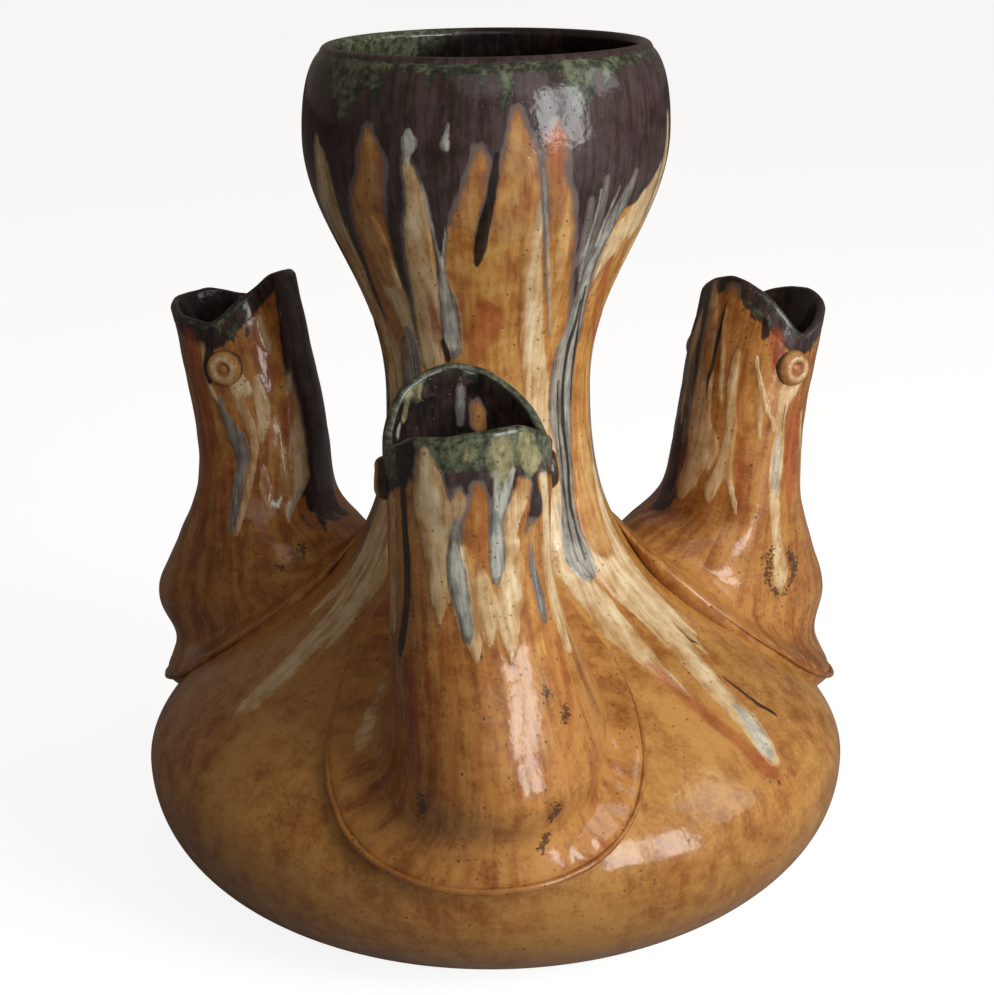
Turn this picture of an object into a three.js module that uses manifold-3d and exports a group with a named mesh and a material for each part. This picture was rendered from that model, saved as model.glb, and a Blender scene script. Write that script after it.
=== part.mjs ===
// Stoneware vase with three fish-head spouts.
// Millimetres, +Z up. The origin is the middle of the foot, on the table. The first spout faces -Y.
//
// The pot is a set of clay pieces that a potter makes apart and lutes together with slip:
// a thrown body, a thrown neck, a thrown mouth cup, three spouts, a rolled coil round each
// spout's skirt, and two eye pellets on each head.

import * as THREE from "three";
import { mergeVertices } from "three/addons/utils/BufferGeometryUtils.js";
import Module from "manifold-3d";

const wasm = await Module();
wasm.setup();

// Driving dimensions of the turned pieces
const wall = 5;                     // thickness of every thrown or pressed wall
const slip = 0.3;                   // slip layer between two luted pieces
const foot_radius = 56;             // flat foot that the vase stands on
const foot_bevel = 1.5;             // wiped edge of the foot
const floor_thickness = 8;          // clay between the foot and the inside of the body
const body_radius = 102.5;          // widest line of the body
const body_line = 45;               // height of the widest line
const belly_fullness = 35;          // how far the widest line's upright wall carries down
const shoulder_fullness = 19.3;       // and how far it carries up
const collar_radius = 46;           // where the shoulder turns into the neck
const collar_rise = 53.3;           // from the widest line to that collar
const collar_slope = 48.2;          // degrees from level, at the collar
const collar_reach = 20.7;          // length of the straight-looking stretch on each side of the collar
const waist_radius = 29;            // narrowest part of the neck
const waist_rise = 108;             // from the widest line to the waist
const neck_reach = 22.5;             // upright stretch under the waist
const cup_radius = 50.8;            // widest part of the mouth cup
const cup_rise = 72.8;              // from the waist to that widest part
const cup_spring = 31;              // upright stretch over the waist
const cup_fullness = 25;            // upright stretch under the cup's widest part
const rim_radius = 43.6;            // middle of the lip
const rim_rise = 24;                // from the cup's widest part to the lip
const rim_inward = 5;               // how far the cup's shoulder curls in under the lip

// Driving dimensions of a spout, a fish head held upright
const spout_count = 3;
const first_turn = 0;               // degrees, from -Y to the first spout
const tube_radius = 19.8;           // outside of the tube under the head, front to back
const tube_side = 20.6;             // and sideways
const lip_tuck = 1.8;               // how far the inner jaw leans in over the tube
const spout_inset = 28;             // the spout's axis at the skirt's bulge, in from the widest line
const spout_lean = 10.5;            // degrees, outward
const side_shift = 5.2;             // all heads stand this far to one side of their skirts
const head_twist = 10;              // degrees, round the spout's own axis
const eye_line = 107;               // height of the eyes over the widest line
const lip_front = 122.5;            // top of the outer jaw
const lip_corner = 115.5;           // bottom of the notch at each side of the mouth
const lip_back = 132;               // top of the inner jaw
const tube_foot = 82;               // where the tube starts to flare
const flare_line = 66;              // where the flare leaves the tube
const flare_growth = 3;             // and how much wider it is there

// The skirt's reach from the spout's axis and its height over the body's widest line,
// at the front (away from the vase), at the sides and at the back (against the neck)
const bulge_front = 44;
const bulge_front_line = 30;
const bulge_side = 31;
const bulge_side_line = 39;
const saddle_back = 34;             // the saddle between the tube and the neck
const saddle_line = 56;
const saddle_height = 5;            // over which the tube turns back to it
const crease_front = 41;            // the crease over the flange
const crease_front_line = 17.5;
const crease_side = 32;
const crease_side_line = 31;
const edge_front = 43.7;            // middle of the coil along the flange's edge
const edge_front_line = 7;
const edge_side = 40.2;
const edge_side_line = 26;
const edge_back_line = 65.6;
const skirt_back = 21.7;            // the skirt's back edge inside the neck, from the vase's axis
const neck_run = 6.5;               // from the edge up against the neck back to the crease
const edge_drop = 8;                // how far the flange turns down to the body
const edge_tuck_front = 6.5;        // and in, at the front
const edge_tuck_side = 1.5;         // and at the sides and the back
const root_share = 2.2;             // how much further the wall runs into the shoulder
const coil_width = 2.6;             // the rolled coil, pressed to an oval
const coil_height = 4.8;
const coil_gap = 0.5;               // slip between the coil and the flange
const coil_end = 120;               // degrees from the front, where the coil ends
const coil_taper = 30;              // degrees over which its ends thin out
const bore_radius = 14;             // hole through the shoulder under each spout

// Driving dimensions of an eye pellet
const eye_radius = 5.6;
const eye_back = 8;                 // degrees behind the widest line of the head
const eye_height = 2.6;
const pupil_radius = 2.4;
const pupil_depth = 1.1;

// Fineness of the facets
const turn_steps = 48;              // round the vase
const curve_steps = 6;              // along each curve of the outline
const ring_steps = 24;              // round a spout
const span_steps = 2;               // between two sections of a spout
const coil_sides = 8;

const degrees = Math.PI / 180;
const clay = (color, roughness) => new THREE.MeshStandardMaterial({ color, roughness, metalness: 0 });
const glazes = {
  amber: clay(0xa8753d, 0.38),
  streaked: clay(0xb98c5a, 0.4),
  plum: clay(0x3f3236, 0.42),
  spout: clay(0x9a6233, 0.36),
  coil: clay(0x8c5528, 0.4),
  eye: clay(0xb07a45, 0.4),
};

// The turned outline

const bend = (...points) => {
  const [start, first, second, end] = points.map(([radius, height]) => new THREE.Vector2(radius, height));
  return new THREE.CubicBezierCurve(start, first, second, end).getPoints(curve_steps);
};

const waist_line = body_line + waist_rise;
const cup_line = waist_line + cup_rise;
const rim_line = cup_line + rim_rise;
const collar_line = body_line + collar_rise;
const collar_step = [collar_reach * Math.cos(collar_slope * degrees), collar_reach * Math.sin(collar_slope * degrees)];

const belly = bend(
  [foot_radius, foot_bevel],
  [foot_radius, foot_bevel],
  [body_radius, body_line - belly_fullness],
  [body_radius, body_line],
);
const shoulder = bend(
  [body_radius, body_line],
  [body_radius, body_line + shoulder_fullness],
  [collar_radius + collar_step[0], collar_line - collar_step[1]],
  [collar_radius, collar_line],
);
const lower_neck = bend(
  [collar_radius, collar_line],
  [collar_radius - collar_step[0], collar_line + collar_step[1]],
  [waist_radius, waist_line - neck_reach],
  [waist_radius, waist_line],
);
const cup_side = bend(
  [waist_radius, waist_line],
  [waist_radius, waist_line + cup_spring],
  [cup_radius, cup_line - cup_fullness],
  [cup_radius, cup_line],
);
const lip_radius = wall * 0.42;
const cup_shoulder = bend(
  [cup_radius, cup_line],
  [cup_radius, cup_line + rim_rise / 2],
  [rim_radius + lip_radius + rim_inward * 0.6, rim_line - rim_inward],
  [rim_radius + lip_radius, rim_line - lip_radius],
);

// Moves an outline sideways, away from the wall's outer face, by a distance (inward is positive)
const offset = (points, distance) => points.map((point, i) => {
  const before = points[Math.max(i - 1, 0)];
  const after = points[Math.min(i + 1, points.length - 1)];
  const along = after.clone().sub(before).normalize();
  return new THREE.Vector2(point.x - along.y * distance, point.y + along.x * distance);
});

// A coarser row of points or rings, for a face that is out of sight
const every_second = (row) => row.filter((_, i) => i % 2 === 0 || i === row.length - 1);

// Solids

const bare_mesh = (geometry, solid_position) => {
  const plain = geometry.clone();
  for (const name of Object.keys(plain.attributes)) {
    if (name !== "position") plain.deleteAttribute(name);
  }
  if (solid_position) plain.applyMatrix4(solid_position);
  return mergeVertices(plain, 1e-4);
};

const to_solid = (geometry, solid_position) => {
  const merged = bare_mesh(geometry, solid_position);
  return new wasm.Manifold(new wasm.Mesh({
    numProp: 3,
    vertProperties: new Float32Array(merged.attributes.position.array),
    triVerts: new Uint32Array(merged.index.array),
  }));
};

// A cut leaves corners a hair apart where two facets nearly touch. They are drawn together, and the
// triangles that this flattens are left out.
const weld = 0.01;
const to_geometry = (solid) => {
  const mesh = solid.getMesh();
  const cut = new THREE.BufferGeometry();
  cut.setAttribute("position", new THREE.BufferAttribute(new Float32Array(mesh.vertProperties), mesh.numProp));
  cut.setIndex(new THREE.BufferAttribute(new Uint32Array(mesh.triVerts), 1));
  const geometry = mergeVertices(cut, weld);
  const corners = geometry.index.array;
  const kept = [];
  for (let i = 0; i < corners.length; i += 3) {
    const [a, b, c] = corners.slice(i, i + 3);
    if (a !== b && b !== c && c !== a) kept.push(a, b, c);
  }
  geometry.setIndex(kept);
  geometry.computeVertexNormals();
  return geometry;
};

// Turns a profile of [radius, height] points round the vase's axis
const turn = (profile) => {
  const geometry = new THREE.LatheGeometry(profile, turn_steps);
  geometry.rotateX(Math.PI / 2);
  return geometry;
};

// Body: from the foot ring over the belly and shoulder to the seam under the neck

const seam = slip / 2;
const lift = (points, first_rise, last_rise) => points.map((point, i) => {
  const moved = point.clone();
  if (i === 0) moved.y += first_rise;
  if (i === points.length - 1) moved.y += last_rise;
  return moved;
});

const body_outside = lift([...belly, ...shoulder.slice(1)], 0, -seam);
const body_inside = every_second(offset(body_outside, wall)).filter((point) => point.y > floor_thickness + wall / 4);
const body_profile = [
  new THREE.Vector2(0, 0),
  new THREE.Vector2(foot_radius - foot_bevel, 0),
  ...body_outside,
  ...body_inside.reverse(),
  new THREE.Vector2(foot_radius - wall, floor_thickness),
  new THREE.Vector2(0, floor_thickness),
];

// Neck and cup: closed rings of wall between two seams
const neck_outside = lift(lower_neck, seam, -seam);
const neck_inside = every_second(offset(neck_outside, wall));
const neck_profile = [...neck_outside, ...neck_inside.reverse(), neck_outside[0].clone()];

const cup_outside = lift([...cup_side, ...cup_shoulder.slice(1)], seam, 0);
const cup_inside = every_second(offset(cup_outside, wall));
const lip_arc = [0.2, 0.5, 0.8].map((turned) => new THREE.Vector2(
  rim_radius + lip_radius * Math.cos(turned * Math.PI),
  rim_line - lip_radius + lip_radius * Math.sin(turned * Math.PI),
));
cup_inside[cup_inside.length - 1].set(rim_radius - lip_radius, rim_line - lip_radius);
const cup_profile = [...cup_outside, ...lip_arc, ...cup_inside.reverse(), cup_outside[0].clone()];

// The outside of the whole turned form, grown by the slip, trims what is luted onto it
const form_outside = offset([...belly, ...shoulder.slice(1), ...lower_neck.slice(1), ...cup_side.slice(1)], -slip);
const turned_form = to_solid(turn([
  new THREE.Vector2(0, -slip),
  new THREE.Vector2(foot_radius, -slip),
  ...form_outside,
  new THREE.Vector2(0, form_outside.at(-1).y),
]));

// Spouts

// Each section is a ring round the spout's leaning axis. It is given by its reach from that axis and
// its height over the widest line at three places: front (away from the vase), side and back.
const places = ["front", "side", "back"];
const spout_place = body_radius - spout_inset;
const level = (line) => ({ front: [tube_radius, line], side: [tube_side, line], back: [tube_radius, line] });
const between = (upper, lower) => Object.fromEntries(places.map((place) => [
  place, [(upper[place][0] + lower[place][0]) / 2, (upper[place][1] + lower[place][1]) / 2],
]));
const tucked = (section, share) => ({
  front: [section.front[0] - edge_tuck_front * share, section.front[1] - edge_drop * share],
  side: [section.side[0] - edge_tuck_side * share, section.side[1] - edge_drop * share],
  back: [section.back[0] - edge_tuck_side * share, section.back[1] - edge_drop * share],
});

const mouth = {
  front: [tube_radius, lip_front],
  side: [tube_side, lip_corner],
  back: [tube_radius - lip_tuck, lip_back],
};
const flare = {
  front: [tube_radius + flare_growth, flare_line],
  side: [tube_side + flare_growth, flare_line],
  back: [tube_radius, saddle_line + saddle_height],
};
const bulge = {
  front: [bulge_front, bulge_front_line],
  side: [bulge_side, bulge_side_line],
  back: [saddle_back, saddle_line],
};
const crease = {
  front: [crease_front, crease_front_line],
  side: [crease_side, crease_side_line],
  back: [spout_place - skirt_back - neck_run, edge_back_line],
};
const edge = {
  front: [edge_front, edge_front_line],
  side: [edge_side, edge_side_line],
  back: [spout_place - skirt_back, edge_back_line],
};
const hem = Object.fromEntries(places.map((place) => [
  place, [edge[place][0] - coil_width / 2 - coil_gap, edge[place][1] + coil_height / 4],
]));
const sections = [
  mouth,
  level(eye_line),
  level(tube_foot),
  flare,
  between(flare, bulge),
  bulge,
  crease,
  hem,
  tucked(hem, 1),
  tucked(hem, root_share),
];

const axis_at = (height) => new THREE.Vector3(
  -side_shift * THREE.MathUtils.smoothstep(height, bulge_front_line, tube_foot),
  -(spout_place + Math.tan(spout_lean * degrees) * (height - bulge_front_line)),
  body_line + height,
);

// A point on a section: angle 0 is the front. The height runs through the three given ones:
// evenly on the skirt, and in a rounded V from jaw to jaw at the mouth.
const corner_round = 0.12;
const mouth_rise = (toward) => (Math.hypot(toward, corner_round) - corner_round)
  / (Math.hypot(1, corner_round) - corner_round);
const section_point = ({ front, side, back }, angle, is_mouth) => {
  const toward = Math.cos(is_mouth ? angle - head_twist * degrees : angle);
  const height = is_mouth
    ? side[1] + mouth_rise(toward) * ((toward > 0 ? front : back)[1] - side[1])
    : side[1] + (front[1] - back[1]) / 2 * toward + ((front[1] + back[1]) / 2 - side[1]) * toward ** 2;
  const reach = Math.cos(angle) > 0 ? front[0] : back[0];
  const middle = axis_at(height);
  return new THREE.Vector3(
    middle.x + side[0] * Math.sin(angle),
    middle.y - reach * Math.cos(angle),
    middle.z,
  );
};

const angles = Array.from({ length: ring_steps }, (_, i) => i * 2 * Math.PI / ring_steps);
const span_count = (sections.length - 1) * span_steps;

// Rings of points down the outside, from the lip to the root inside the shoulder
const meridians = angles.map((angle) => new THREE.CatmullRomCurve3(
  sections.map((section, i) => section_point(section, angle, i === 0)),
  false, "centripetal",
).getPoints(span_count));
const outer_rings = Array.from({ length: span_count + 1 }, (_, i) => meridians.map((points) => points[i]));

// The same rings moved inward by a thickness, square to the surface
const shrink = (rings, thickness) => rings.map((ring, i) => ring.map((point, j) => {
  const down = rings[Math.min(i + 1, rings.length - 1)][j].clone().sub(rings[Math.max(i - 1, 0)][j]);
  const around = ring[(j + 1) % ring.length].clone().sub(ring[(j + ring.length - 1) % ring.length]);
  const outward = down.cross(around).normalize();
  return point.clone().addScaledVector(outward, -thickness);
}));

const stitch = (rings, closed) => {
  const count = rings[0].length;
  const positions = rings.flat().flatMap((point) => [point.x, point.y, point.z]);
  const index = [];
  const bands = closed ? rings.length : rings.length - 1;
  for (let i = 0; i < bands; i++) {
    for (let j = 0; j < count; j++) {
      const [a, b] = [i * count + j, i * count + (j + 1) % count];
      const next = ((i + 1) % rings.length) * count;
      const [c, d] = [next + j, next + (j + 1) % count];
      index.push(a, c, b, b, c, d);
    }
  }
  if (!closed) {
    for (let j = 1; j < count - 1; j++) {
      const last = (rings.length - 1) * count;
      index.push(0, j, j + 1, last, last + j + 1, last + j);
    }
  }
  const geometry = new THREE.BufferGeometry();
  geometry.setAttribute("position", new THREE.Float32BufferAttribute(positions, 3));
  geometry.setIndex(index);
  return geometry;
};

// The wall runs down the outside, turns at the root, comes up inside and closes over the rounded lip
const inner_rings = shrink(outer_rings, wall);
const lip_ring = outer_rings[0].map((point, j) => {
  const across = point.clone().add(inner_rings[0][j]).multiplyScalar(0.5);
  across.z += wall * 0.3;
  return across;
});
const spout_wall = to_solid(stitch([...outer_rings, ...every_second(inner_rings).reverse(), lip_ring], true));

// Coil along the flange's edge, from one side of the neck round the front to the other side,
// thinning out at both ends. Its stations stand at the spout's own angles, so both have the same facets.
const ring_turn = 360 / ring_steps;
const coil_stations = Math.floor(coil_end / ring_turn);
const rolled_coil = stitch(Array.from({ length: 2 * coil_stations + 1 }, (_, i) => {
  const angle = (i - coil_stations) * ring_turn;
  const middle = section_point(edge, angle * degrees, false);
  const ahead = section_point(edge, (angle + 1) * degrees, false);
  const outward = new THREE.Vector3(ahead.y - middle.y, middle.x - ahead.x, 0).normalize();
  const share = THREE.MathUtils.clamp((coil_end - Math.abs(angle)) / coil_taper, 0.3, 1);
  return Array.from({ length: coil_sides }, (_, j) => {
    const turned = j * 2 * Math.PI / coil_sides;
    const across = coil_width / 2 * share * Math.cos(turned);
    return middle.clone().addScaledVector(outward, across).setZ(
      middle.z + coil_height / 2 * share * Math.sin(turned),
    );
  });
}), false);

const spout_solid = spout_wall.subtract(turned_form);
const coil_solid = to_solid(rolled_coil).subtract(turned_form);

// Eye pellets sit square on the side of the head
const eye_profile = [
  new THREE.Vector2(0, -eye_height),
  new THREE.Vector2(eye_radius, -eye_height),
  new THREE.Vector2(eye_radius, eye_height * 0.35),
  new THREE.Vector2(eye_radius * 0.8, eye_height * 0.85),
  new THREE.Vector2(pupil_radius, eye_height),
  new THREE.Vector2(pupil_radius * 0.6, eye_height - pupil_depth),
  new THREE.Vector2(0, eye_height - pupil_depth * 0.8),
];
const grown_head = to_solid(stitch(shrink(outer_rings, -slip), false));
const eye_solid = (side) => {
  const angle = (side * (90 + eye_back) + head_twist) * degrees;
  const spot = section_point(sections[1], angle, false);
  const outward = spot.clone().sub(axis_at(eye_line)).setZ(0).normalize();
  const seat = new THREE.Matrix4().makeRotationFromQuaternion(
    new THREE.Quaternion().setFromUnitVectors(new THREE.Vector3(0, 1, 0), outward),
  ).setPosition(spot);
  return to_solid(new THREE.LatheGeometry(eye_profile, 12), seat).subtract(grown_head);
};

// Holes through the shoulder under the spouts
const hole = to_solid(
  new THREE.CylinderGeometry(bore_radius, bore_radius, collar_rise * 2, 20).rotateX(Math.PI / 2),
  new THREE.Matrix4().makeRotationX(spout_lean * degrees).setPosition(axis_at(collar_rise)),
);
const spout_turns = Array.from({ length: spout_count }, (_, i) => (first_turn + i * 360 / spout_count) * degrees);
const turned_about = (angle) => new THREE.Matrix4().makeRotationZ(angle);
const body_solid = spout_turns.reduce(
  (solid, angle) => solid.subtract(hole.transform(turned_about(angle).elements)),
  to_solid(turn(body_profile)),
);

// The assembled vase

const vase = new THREE.Group();
const add = (parent, name, geometry, material) => {
  const mesh = new THREE.Mesh(geometry, material);
  mesh.name = name;
  parent.add(mesh);
};

add(vase, "body_bulb", to_geometry(body_solid), glazes.amber);
add(vase, "neck", turn(neck_profile), glazes.streaked);
add(vase, "mouth_cup", turn(cup_profile), glazes.plum);

const spout_geometry = to_geometry(spout_solid);
const coil_geometry = to_geometry(coil_solid);
const eyes = { left: to_geometry(eye_solid(-1)), right: to_geometry(eye_solid(1)) };

spout_turns.forEach((angle, i) => {
  const side = ["front", "right", "left"][i] ?? `spout_${i + 1}`;
  const head = new THREE.Group();
  head.rotation.z = angle;
  add(head, `${side}_spout`, spout_geometry, glazes.spout);
  add(head, `${side}_skirt_coil`, coil_geometry, glazes.coil);
  add(head, `${side}_spout_left_eye`, eyes.left, glazes.eye);
  add(head, `${side}_spout_right_eye`, eyes.right, glazes.eye);
  vase.add(head);
});

export default vase;
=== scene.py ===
"""Stoneware vase with three fish-head spouts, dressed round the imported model.

Lengths are millimetres, and turn to metres only where a mesh, a lamp or the camera is made.
Azimuth is in degrees from the front of the vase (-Y), and grows toward +X.
"""
import math
from collections import namedtuple

import bpy
import numpy as np
from mathutils import Matrix, Vector
from mathutils.bvhtree import BVHTree
from mathutils.interpolate import poly_3d_calc


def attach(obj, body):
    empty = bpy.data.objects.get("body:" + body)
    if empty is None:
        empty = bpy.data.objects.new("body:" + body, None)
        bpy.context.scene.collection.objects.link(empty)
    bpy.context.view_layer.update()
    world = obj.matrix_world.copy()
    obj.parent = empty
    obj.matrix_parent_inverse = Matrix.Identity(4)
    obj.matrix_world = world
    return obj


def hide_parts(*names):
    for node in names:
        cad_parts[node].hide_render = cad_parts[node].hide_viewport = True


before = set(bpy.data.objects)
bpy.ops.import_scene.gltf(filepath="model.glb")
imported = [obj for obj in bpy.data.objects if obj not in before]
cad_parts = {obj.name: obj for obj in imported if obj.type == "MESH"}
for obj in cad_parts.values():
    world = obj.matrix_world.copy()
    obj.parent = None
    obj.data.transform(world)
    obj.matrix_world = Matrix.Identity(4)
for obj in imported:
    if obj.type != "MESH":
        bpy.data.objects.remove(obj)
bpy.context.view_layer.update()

MM = 0.001
TURN = 2 * math.pi


# Sizes of the pot, as in the CAD model

WALL = 5.0
FOOT_RADIUS = 56.0
FOOT_BEVEL = 1.5
FLOOR_THICKNESS = 8.0
BODY_RADIUS = 102.5
BODY_LINE = 45.0            # height of the body's widest line
BELLY_FULLNESS = 35.0       # how long the outline keeps its way below that line
SHOULDER_FULLNESS = 19.3    # and above it
COLLAR_RADIUS = 46.0
COLLAR_RISE = 53.3
COLLAR_LINE = BODY_LINE + COLLAR_RISE
COLLAR_REACH = 20.7
COLLAR_SLOPE = math.radians(48.2)
COLLAR_STEP = (COLLAR_REACH * math.cos(COLLAR_SLOPE), COLLAR_REACH * math.sin(COLLAR_SLOPE))
WAIST_RADIUS = 29.0
WAIST_LINE = BODY_LINE + 108.0
NECK_REACH = 22.5
CUP_SPRING = 31.0
CUP_FULLNESS = 25.0
CUP_RADIUS = 50.8
CUP_LINE = WAIST_LINE + 72.8
RIM_RADIUS = 43.6
RIM_RISE = 24.0
RIM_LINE = CUP_LINE + RIM_RISE
RIM_INWARD = 5.0
LIP_RADIUS = WALL * 0.42

TUBE_RADIUS = 19.8
TUBE_SIDE = 20.6
LIP_TUCK = 1.8
SPOUT_PLACE = BODY_RADIUS - 28.0
SPOUT_LEAN = math.radians(10.5)
SIDE_SHIFT = 5.2
HEAD_TWIST = math.radians(10.0)
EYE_LINE = 107.0
TUBE_FOOT = 82.0
BULGE_LINE = 30.0
BORE_RADIUS = 14.0
EYE_RADIUS = 5.6
EYE_HEIGHT = 2.6
EYE_TURN = math.radians(98.0)   # from the front of the head
COIL_END = 120.0                # degrees from the front of the skirt
COIL_TAPER = 30.0               # degrees over which a coil thins out at its end

# What sets the spouts apart: the turn round the vase in degrees, the heights of the lip over the body's
# widest line at the outer jaw, at the notches and at the inner jaw, and how much slimmer the tube is
# toward the neck. No two heads were cut quite alike, so each lip also rises or dips here and there:
# (angle round the spout, width in degrees, rise).
Head = namedtuple("Head", "turn lips slim bumps")
SPOUTS = {
    "front": Head(0, (122.5, 115.5, 132.0), 0.0,
                  ((42, 22, 1.6), (-12, 14, -0.5), (-40, 12, 0.5), (150, 20, -0.6))),
    "right": Head(120, (122.5, 115.5, 132.0), 2.0, ((0, 40, 1.4), (-30, 20, 0.6), (160, 25, -0.5))),
    "left": Head(240, (122.5, 119.0, 132.0), 0.0, ((-25, 18, 0.8), (60, 16, -0.6), (170, 14, 0.7))),
}

TURNS = 600        # corners round the turned pieces
ROW = 0.9          # millimetres between two rows of corners
HIDDEN_ROW = 3.0                          # the same on faces that hardly show
CUP_INSIDE_ROW = 1.5
SPOUT_TURNS = 180


# The thrown outline, as (radius, height)

def bend(start, first, second, end, count=120):
    """A smooth line that leaves its start toward the first point and comes to its end from the second."""
    t = np.linspace(0, 1, count + 1)[:, None]
    start, first, second, end = map(np.array, (start, first, second, end))
    return (1 - t) ** 3 * start + 3 * (1 - t) ** 2 * t * first + 3 * (1 - t) * t * t * second + t ** 3 * end


belly = bend((FOOT_RADIUS, FOOT_BEVEL), (FOOT_RADIUS, FOOT_BEVEL),
             (BODY_RADIUS, BODY_LINE - BELLY_FULLNESS), (BODY_RADIUS, BODY_LINE))
shoulder = bend((BODY_RADIUS, BODY_LINE), (BODY_RADIUS, BODY_LINE + SHOULDER_FULLNESS),
                (COLLAR_RADIUS + COLLAR_STEP[0], COLLAR_LINE - COLLAR_STEP[1]),
                (COLLAR_RADIUS, COLLAR_LINE))
lower_neck = bend((COLLAR_RADIUS, COLLAR_LINE),
                  (COLLAR_RADIUS - COLLAR_STEP[0], COLLAR_LINE + COLLAR_STEP[1]),
                  (WAIST_RADIUS, WAIST_LINE - NECK_REACH), (WAIST_RADIUS, WAIST_LINE))
cup_side = bend((WAIST_RADIUS, WAIST_LINE), (WAIST_RADIUS, WAIST_LINE + CUP_SPRING),
                (CUP_RADIUS, CUP_LINE - CUP_FULLNESS), (CUP_RADIUS, CUP_LINE))
cup_shoulder = bend((CUP_RADIUS, CUP_LINE), (CUP_RADIUS, CUP_LINE + RIM_RISE / 2),
                    (RIM_RADIUS + LIP_RADIUS + RIM_INWARD * 0.6, RIM_LINE - RIM_INWARD),
                    (RIM_RADIUS + LIP_RADIUS, RIM_LINE - LIP_RADIUS))


def spaced(line, spacing):
    """The same line with its points evenly spaced."""
    run = np.concatenate([[0], np.cumsum(np.linalg.norm(np.diff(line, axis=0), axis=1))])
    count = max(2, round(run[-1] / spacing) + 1)
    even = np.linspace(0, run[-1], count)
    return np.stack([np.interp(even, run, line[:, 0]), np.interp(even, run, line[:, 1])], 1)


def offset(line, distance):
    """The line moved sideways into the wall."""
    along = np.gradient(line, axis=0)
    along /= np.linalg.norm(along, axis=1, keepdims=True)
    return line + np.stack([-along[:, 1], along[:, 0]], 1) * distance


whole_cup = np.vstack([cup_side, cup_shoulder[1:]])
body_line = spaced(np.vstack([belly, shoulder[1:]]), ROW)
neck_line = spaced(lower_neck, ROW)
cup_line = spaced(whole_cup, ROW)
outline = np.vstack([body_line, neck_line[1:], cup_line[1:]])


def turned(profile, turns):
    """Rings of points from a profile of (radius, height)."""
    angle = np.arange(turns) * TURN / turns
    radius = profile[:, :1]
    height = np.broadcast_to(profile[:, 1:], (len(profile), turns))
    return np.stack([radius * np.sin(angle), -radius * np.cos(angle), height], -1)


# The pinched spouts, as sections of the front one

def axis_at(height):
    """The middle of a spout at a height over the body's widest line."""
    share = np.clip((height - BULGE_LINE) / (TUBE_FOOT - BULGE_LINE), 0, 1)
    x = -SIDE_SHIFT * share * share * (3 - 2 * share)
    y = -(SPOUT_PLACE + math.tan(SPOUT_LEAN) * (height - BULGE_LINE))
    return np.stack([x, y, BODY_LINE + height], -1)


# A skirt's luted edge and the brim over it, as (reach, height) at its front, its sides and its back
EDGE = ((44.0, 5.4), (42.2, 25.2), (SPOUT_PLACE - 21.7, 65.6))
HEM = tuple((reach - 0.7, height + 0.9) for reach, height in EDGE)
HEM_PUSH = -2.6

# How far each section is pushed sideways: the flange was pressed out further on the left
SIDE_PUSH = (0, 0, 0, 0.3, 0.6, 0.9, -1.0, HEM_PUSH, HEM_PUSH, HEM_PUSH)


def spout_sections(head):
    """Sections down a spout, each as (reach, height) at its front, its sides and its back."""
    lip_front, lip_corner, lip_back = head.lips
    slim = head.slim
    flare = ((TUBE_RADIUS + 3, 66.0), (TUBE_SIDE + 2.2, 66.0), (TUBE_RADIUS - 0.5 * slim, 61.0))
    bulge = ((44.0, 30.0), (28.6, 39.0), (34.0, 56.0))

    def level(height):
        return (TUBE_RADIUS, height), (TUBE_SIDE, height), (TUBE_RADIUS - slim, height)

    def tucked(share):
        """Under the brim, back toward the body: far in at the front, where the brim stands off it."""
        return tuple((reach - tuck * share, height - drop * share)
                     for (reach, height), tuck, drop in zip(HEM, (9.0, 1.5, 1.5), (3.0, 8.0, 8.0)))

    return [
        ((TUBE_RADIUS, lip_front), (TUBE_SIDE, lip_corner), (TUBE_RADIUS - LIP_TUCK - slim, lip_back)),
        level(EYE_LINE),
        level(TUBE_FOOT),
        flare,
        tuple(((a[0] + b[0]) / 2, (a[1] + b[1]) / 2) for a, b in zip(flare, bulge)),
        bulge,
        ((41.0, 17.5), (30.4, 31.5), (SPOUT_PLACE - 28.2, 65.6)),
        HEM,
        tucked(1.0),
        tucked(2.2),
    ]


SECTION_STEPS = (26, 30, 18, 22, 22, 20, 20, 10, 8)    # rings between one section and the next
NOTCH_SOFTNESS = 0.12       # how round the notches of the mouth are


def section_ring(section, angles, is_mouth=False, push=0.0):
    """Corners round a section. The mouth's ring dips at two notches, and the others are one smooth bend."""
    front, side, back = section
    toward = np.cos(angles - HEAD_TWIST) if is_mouth else np.cos(angles)
    if is_mouth:
        soft = NOTCH_SOFTNESS
        rise = (np.hypot(toward, soft) - soft) / (math.hypot(1, soft) - soft)
        height = side[1] + rise * (np.where(toward > 0, front[1], back[1]) - side[1])
    else:
        tilt = (front[1] - back[1]) / 2
        sag = (front[1] + back[1]) / 2 - side[1]
        height = side[1] + tilt * toward + sag * toward ** 2
    reach = np.where(np.cos(angles) > 0, front[0], back[0])
    ring = axis_at(height)
    ring[:, 0] += side[0] * np.sin(angles) + push
    ring[:, 1] -= reach * np.cos(angles)
    return ring


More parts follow.
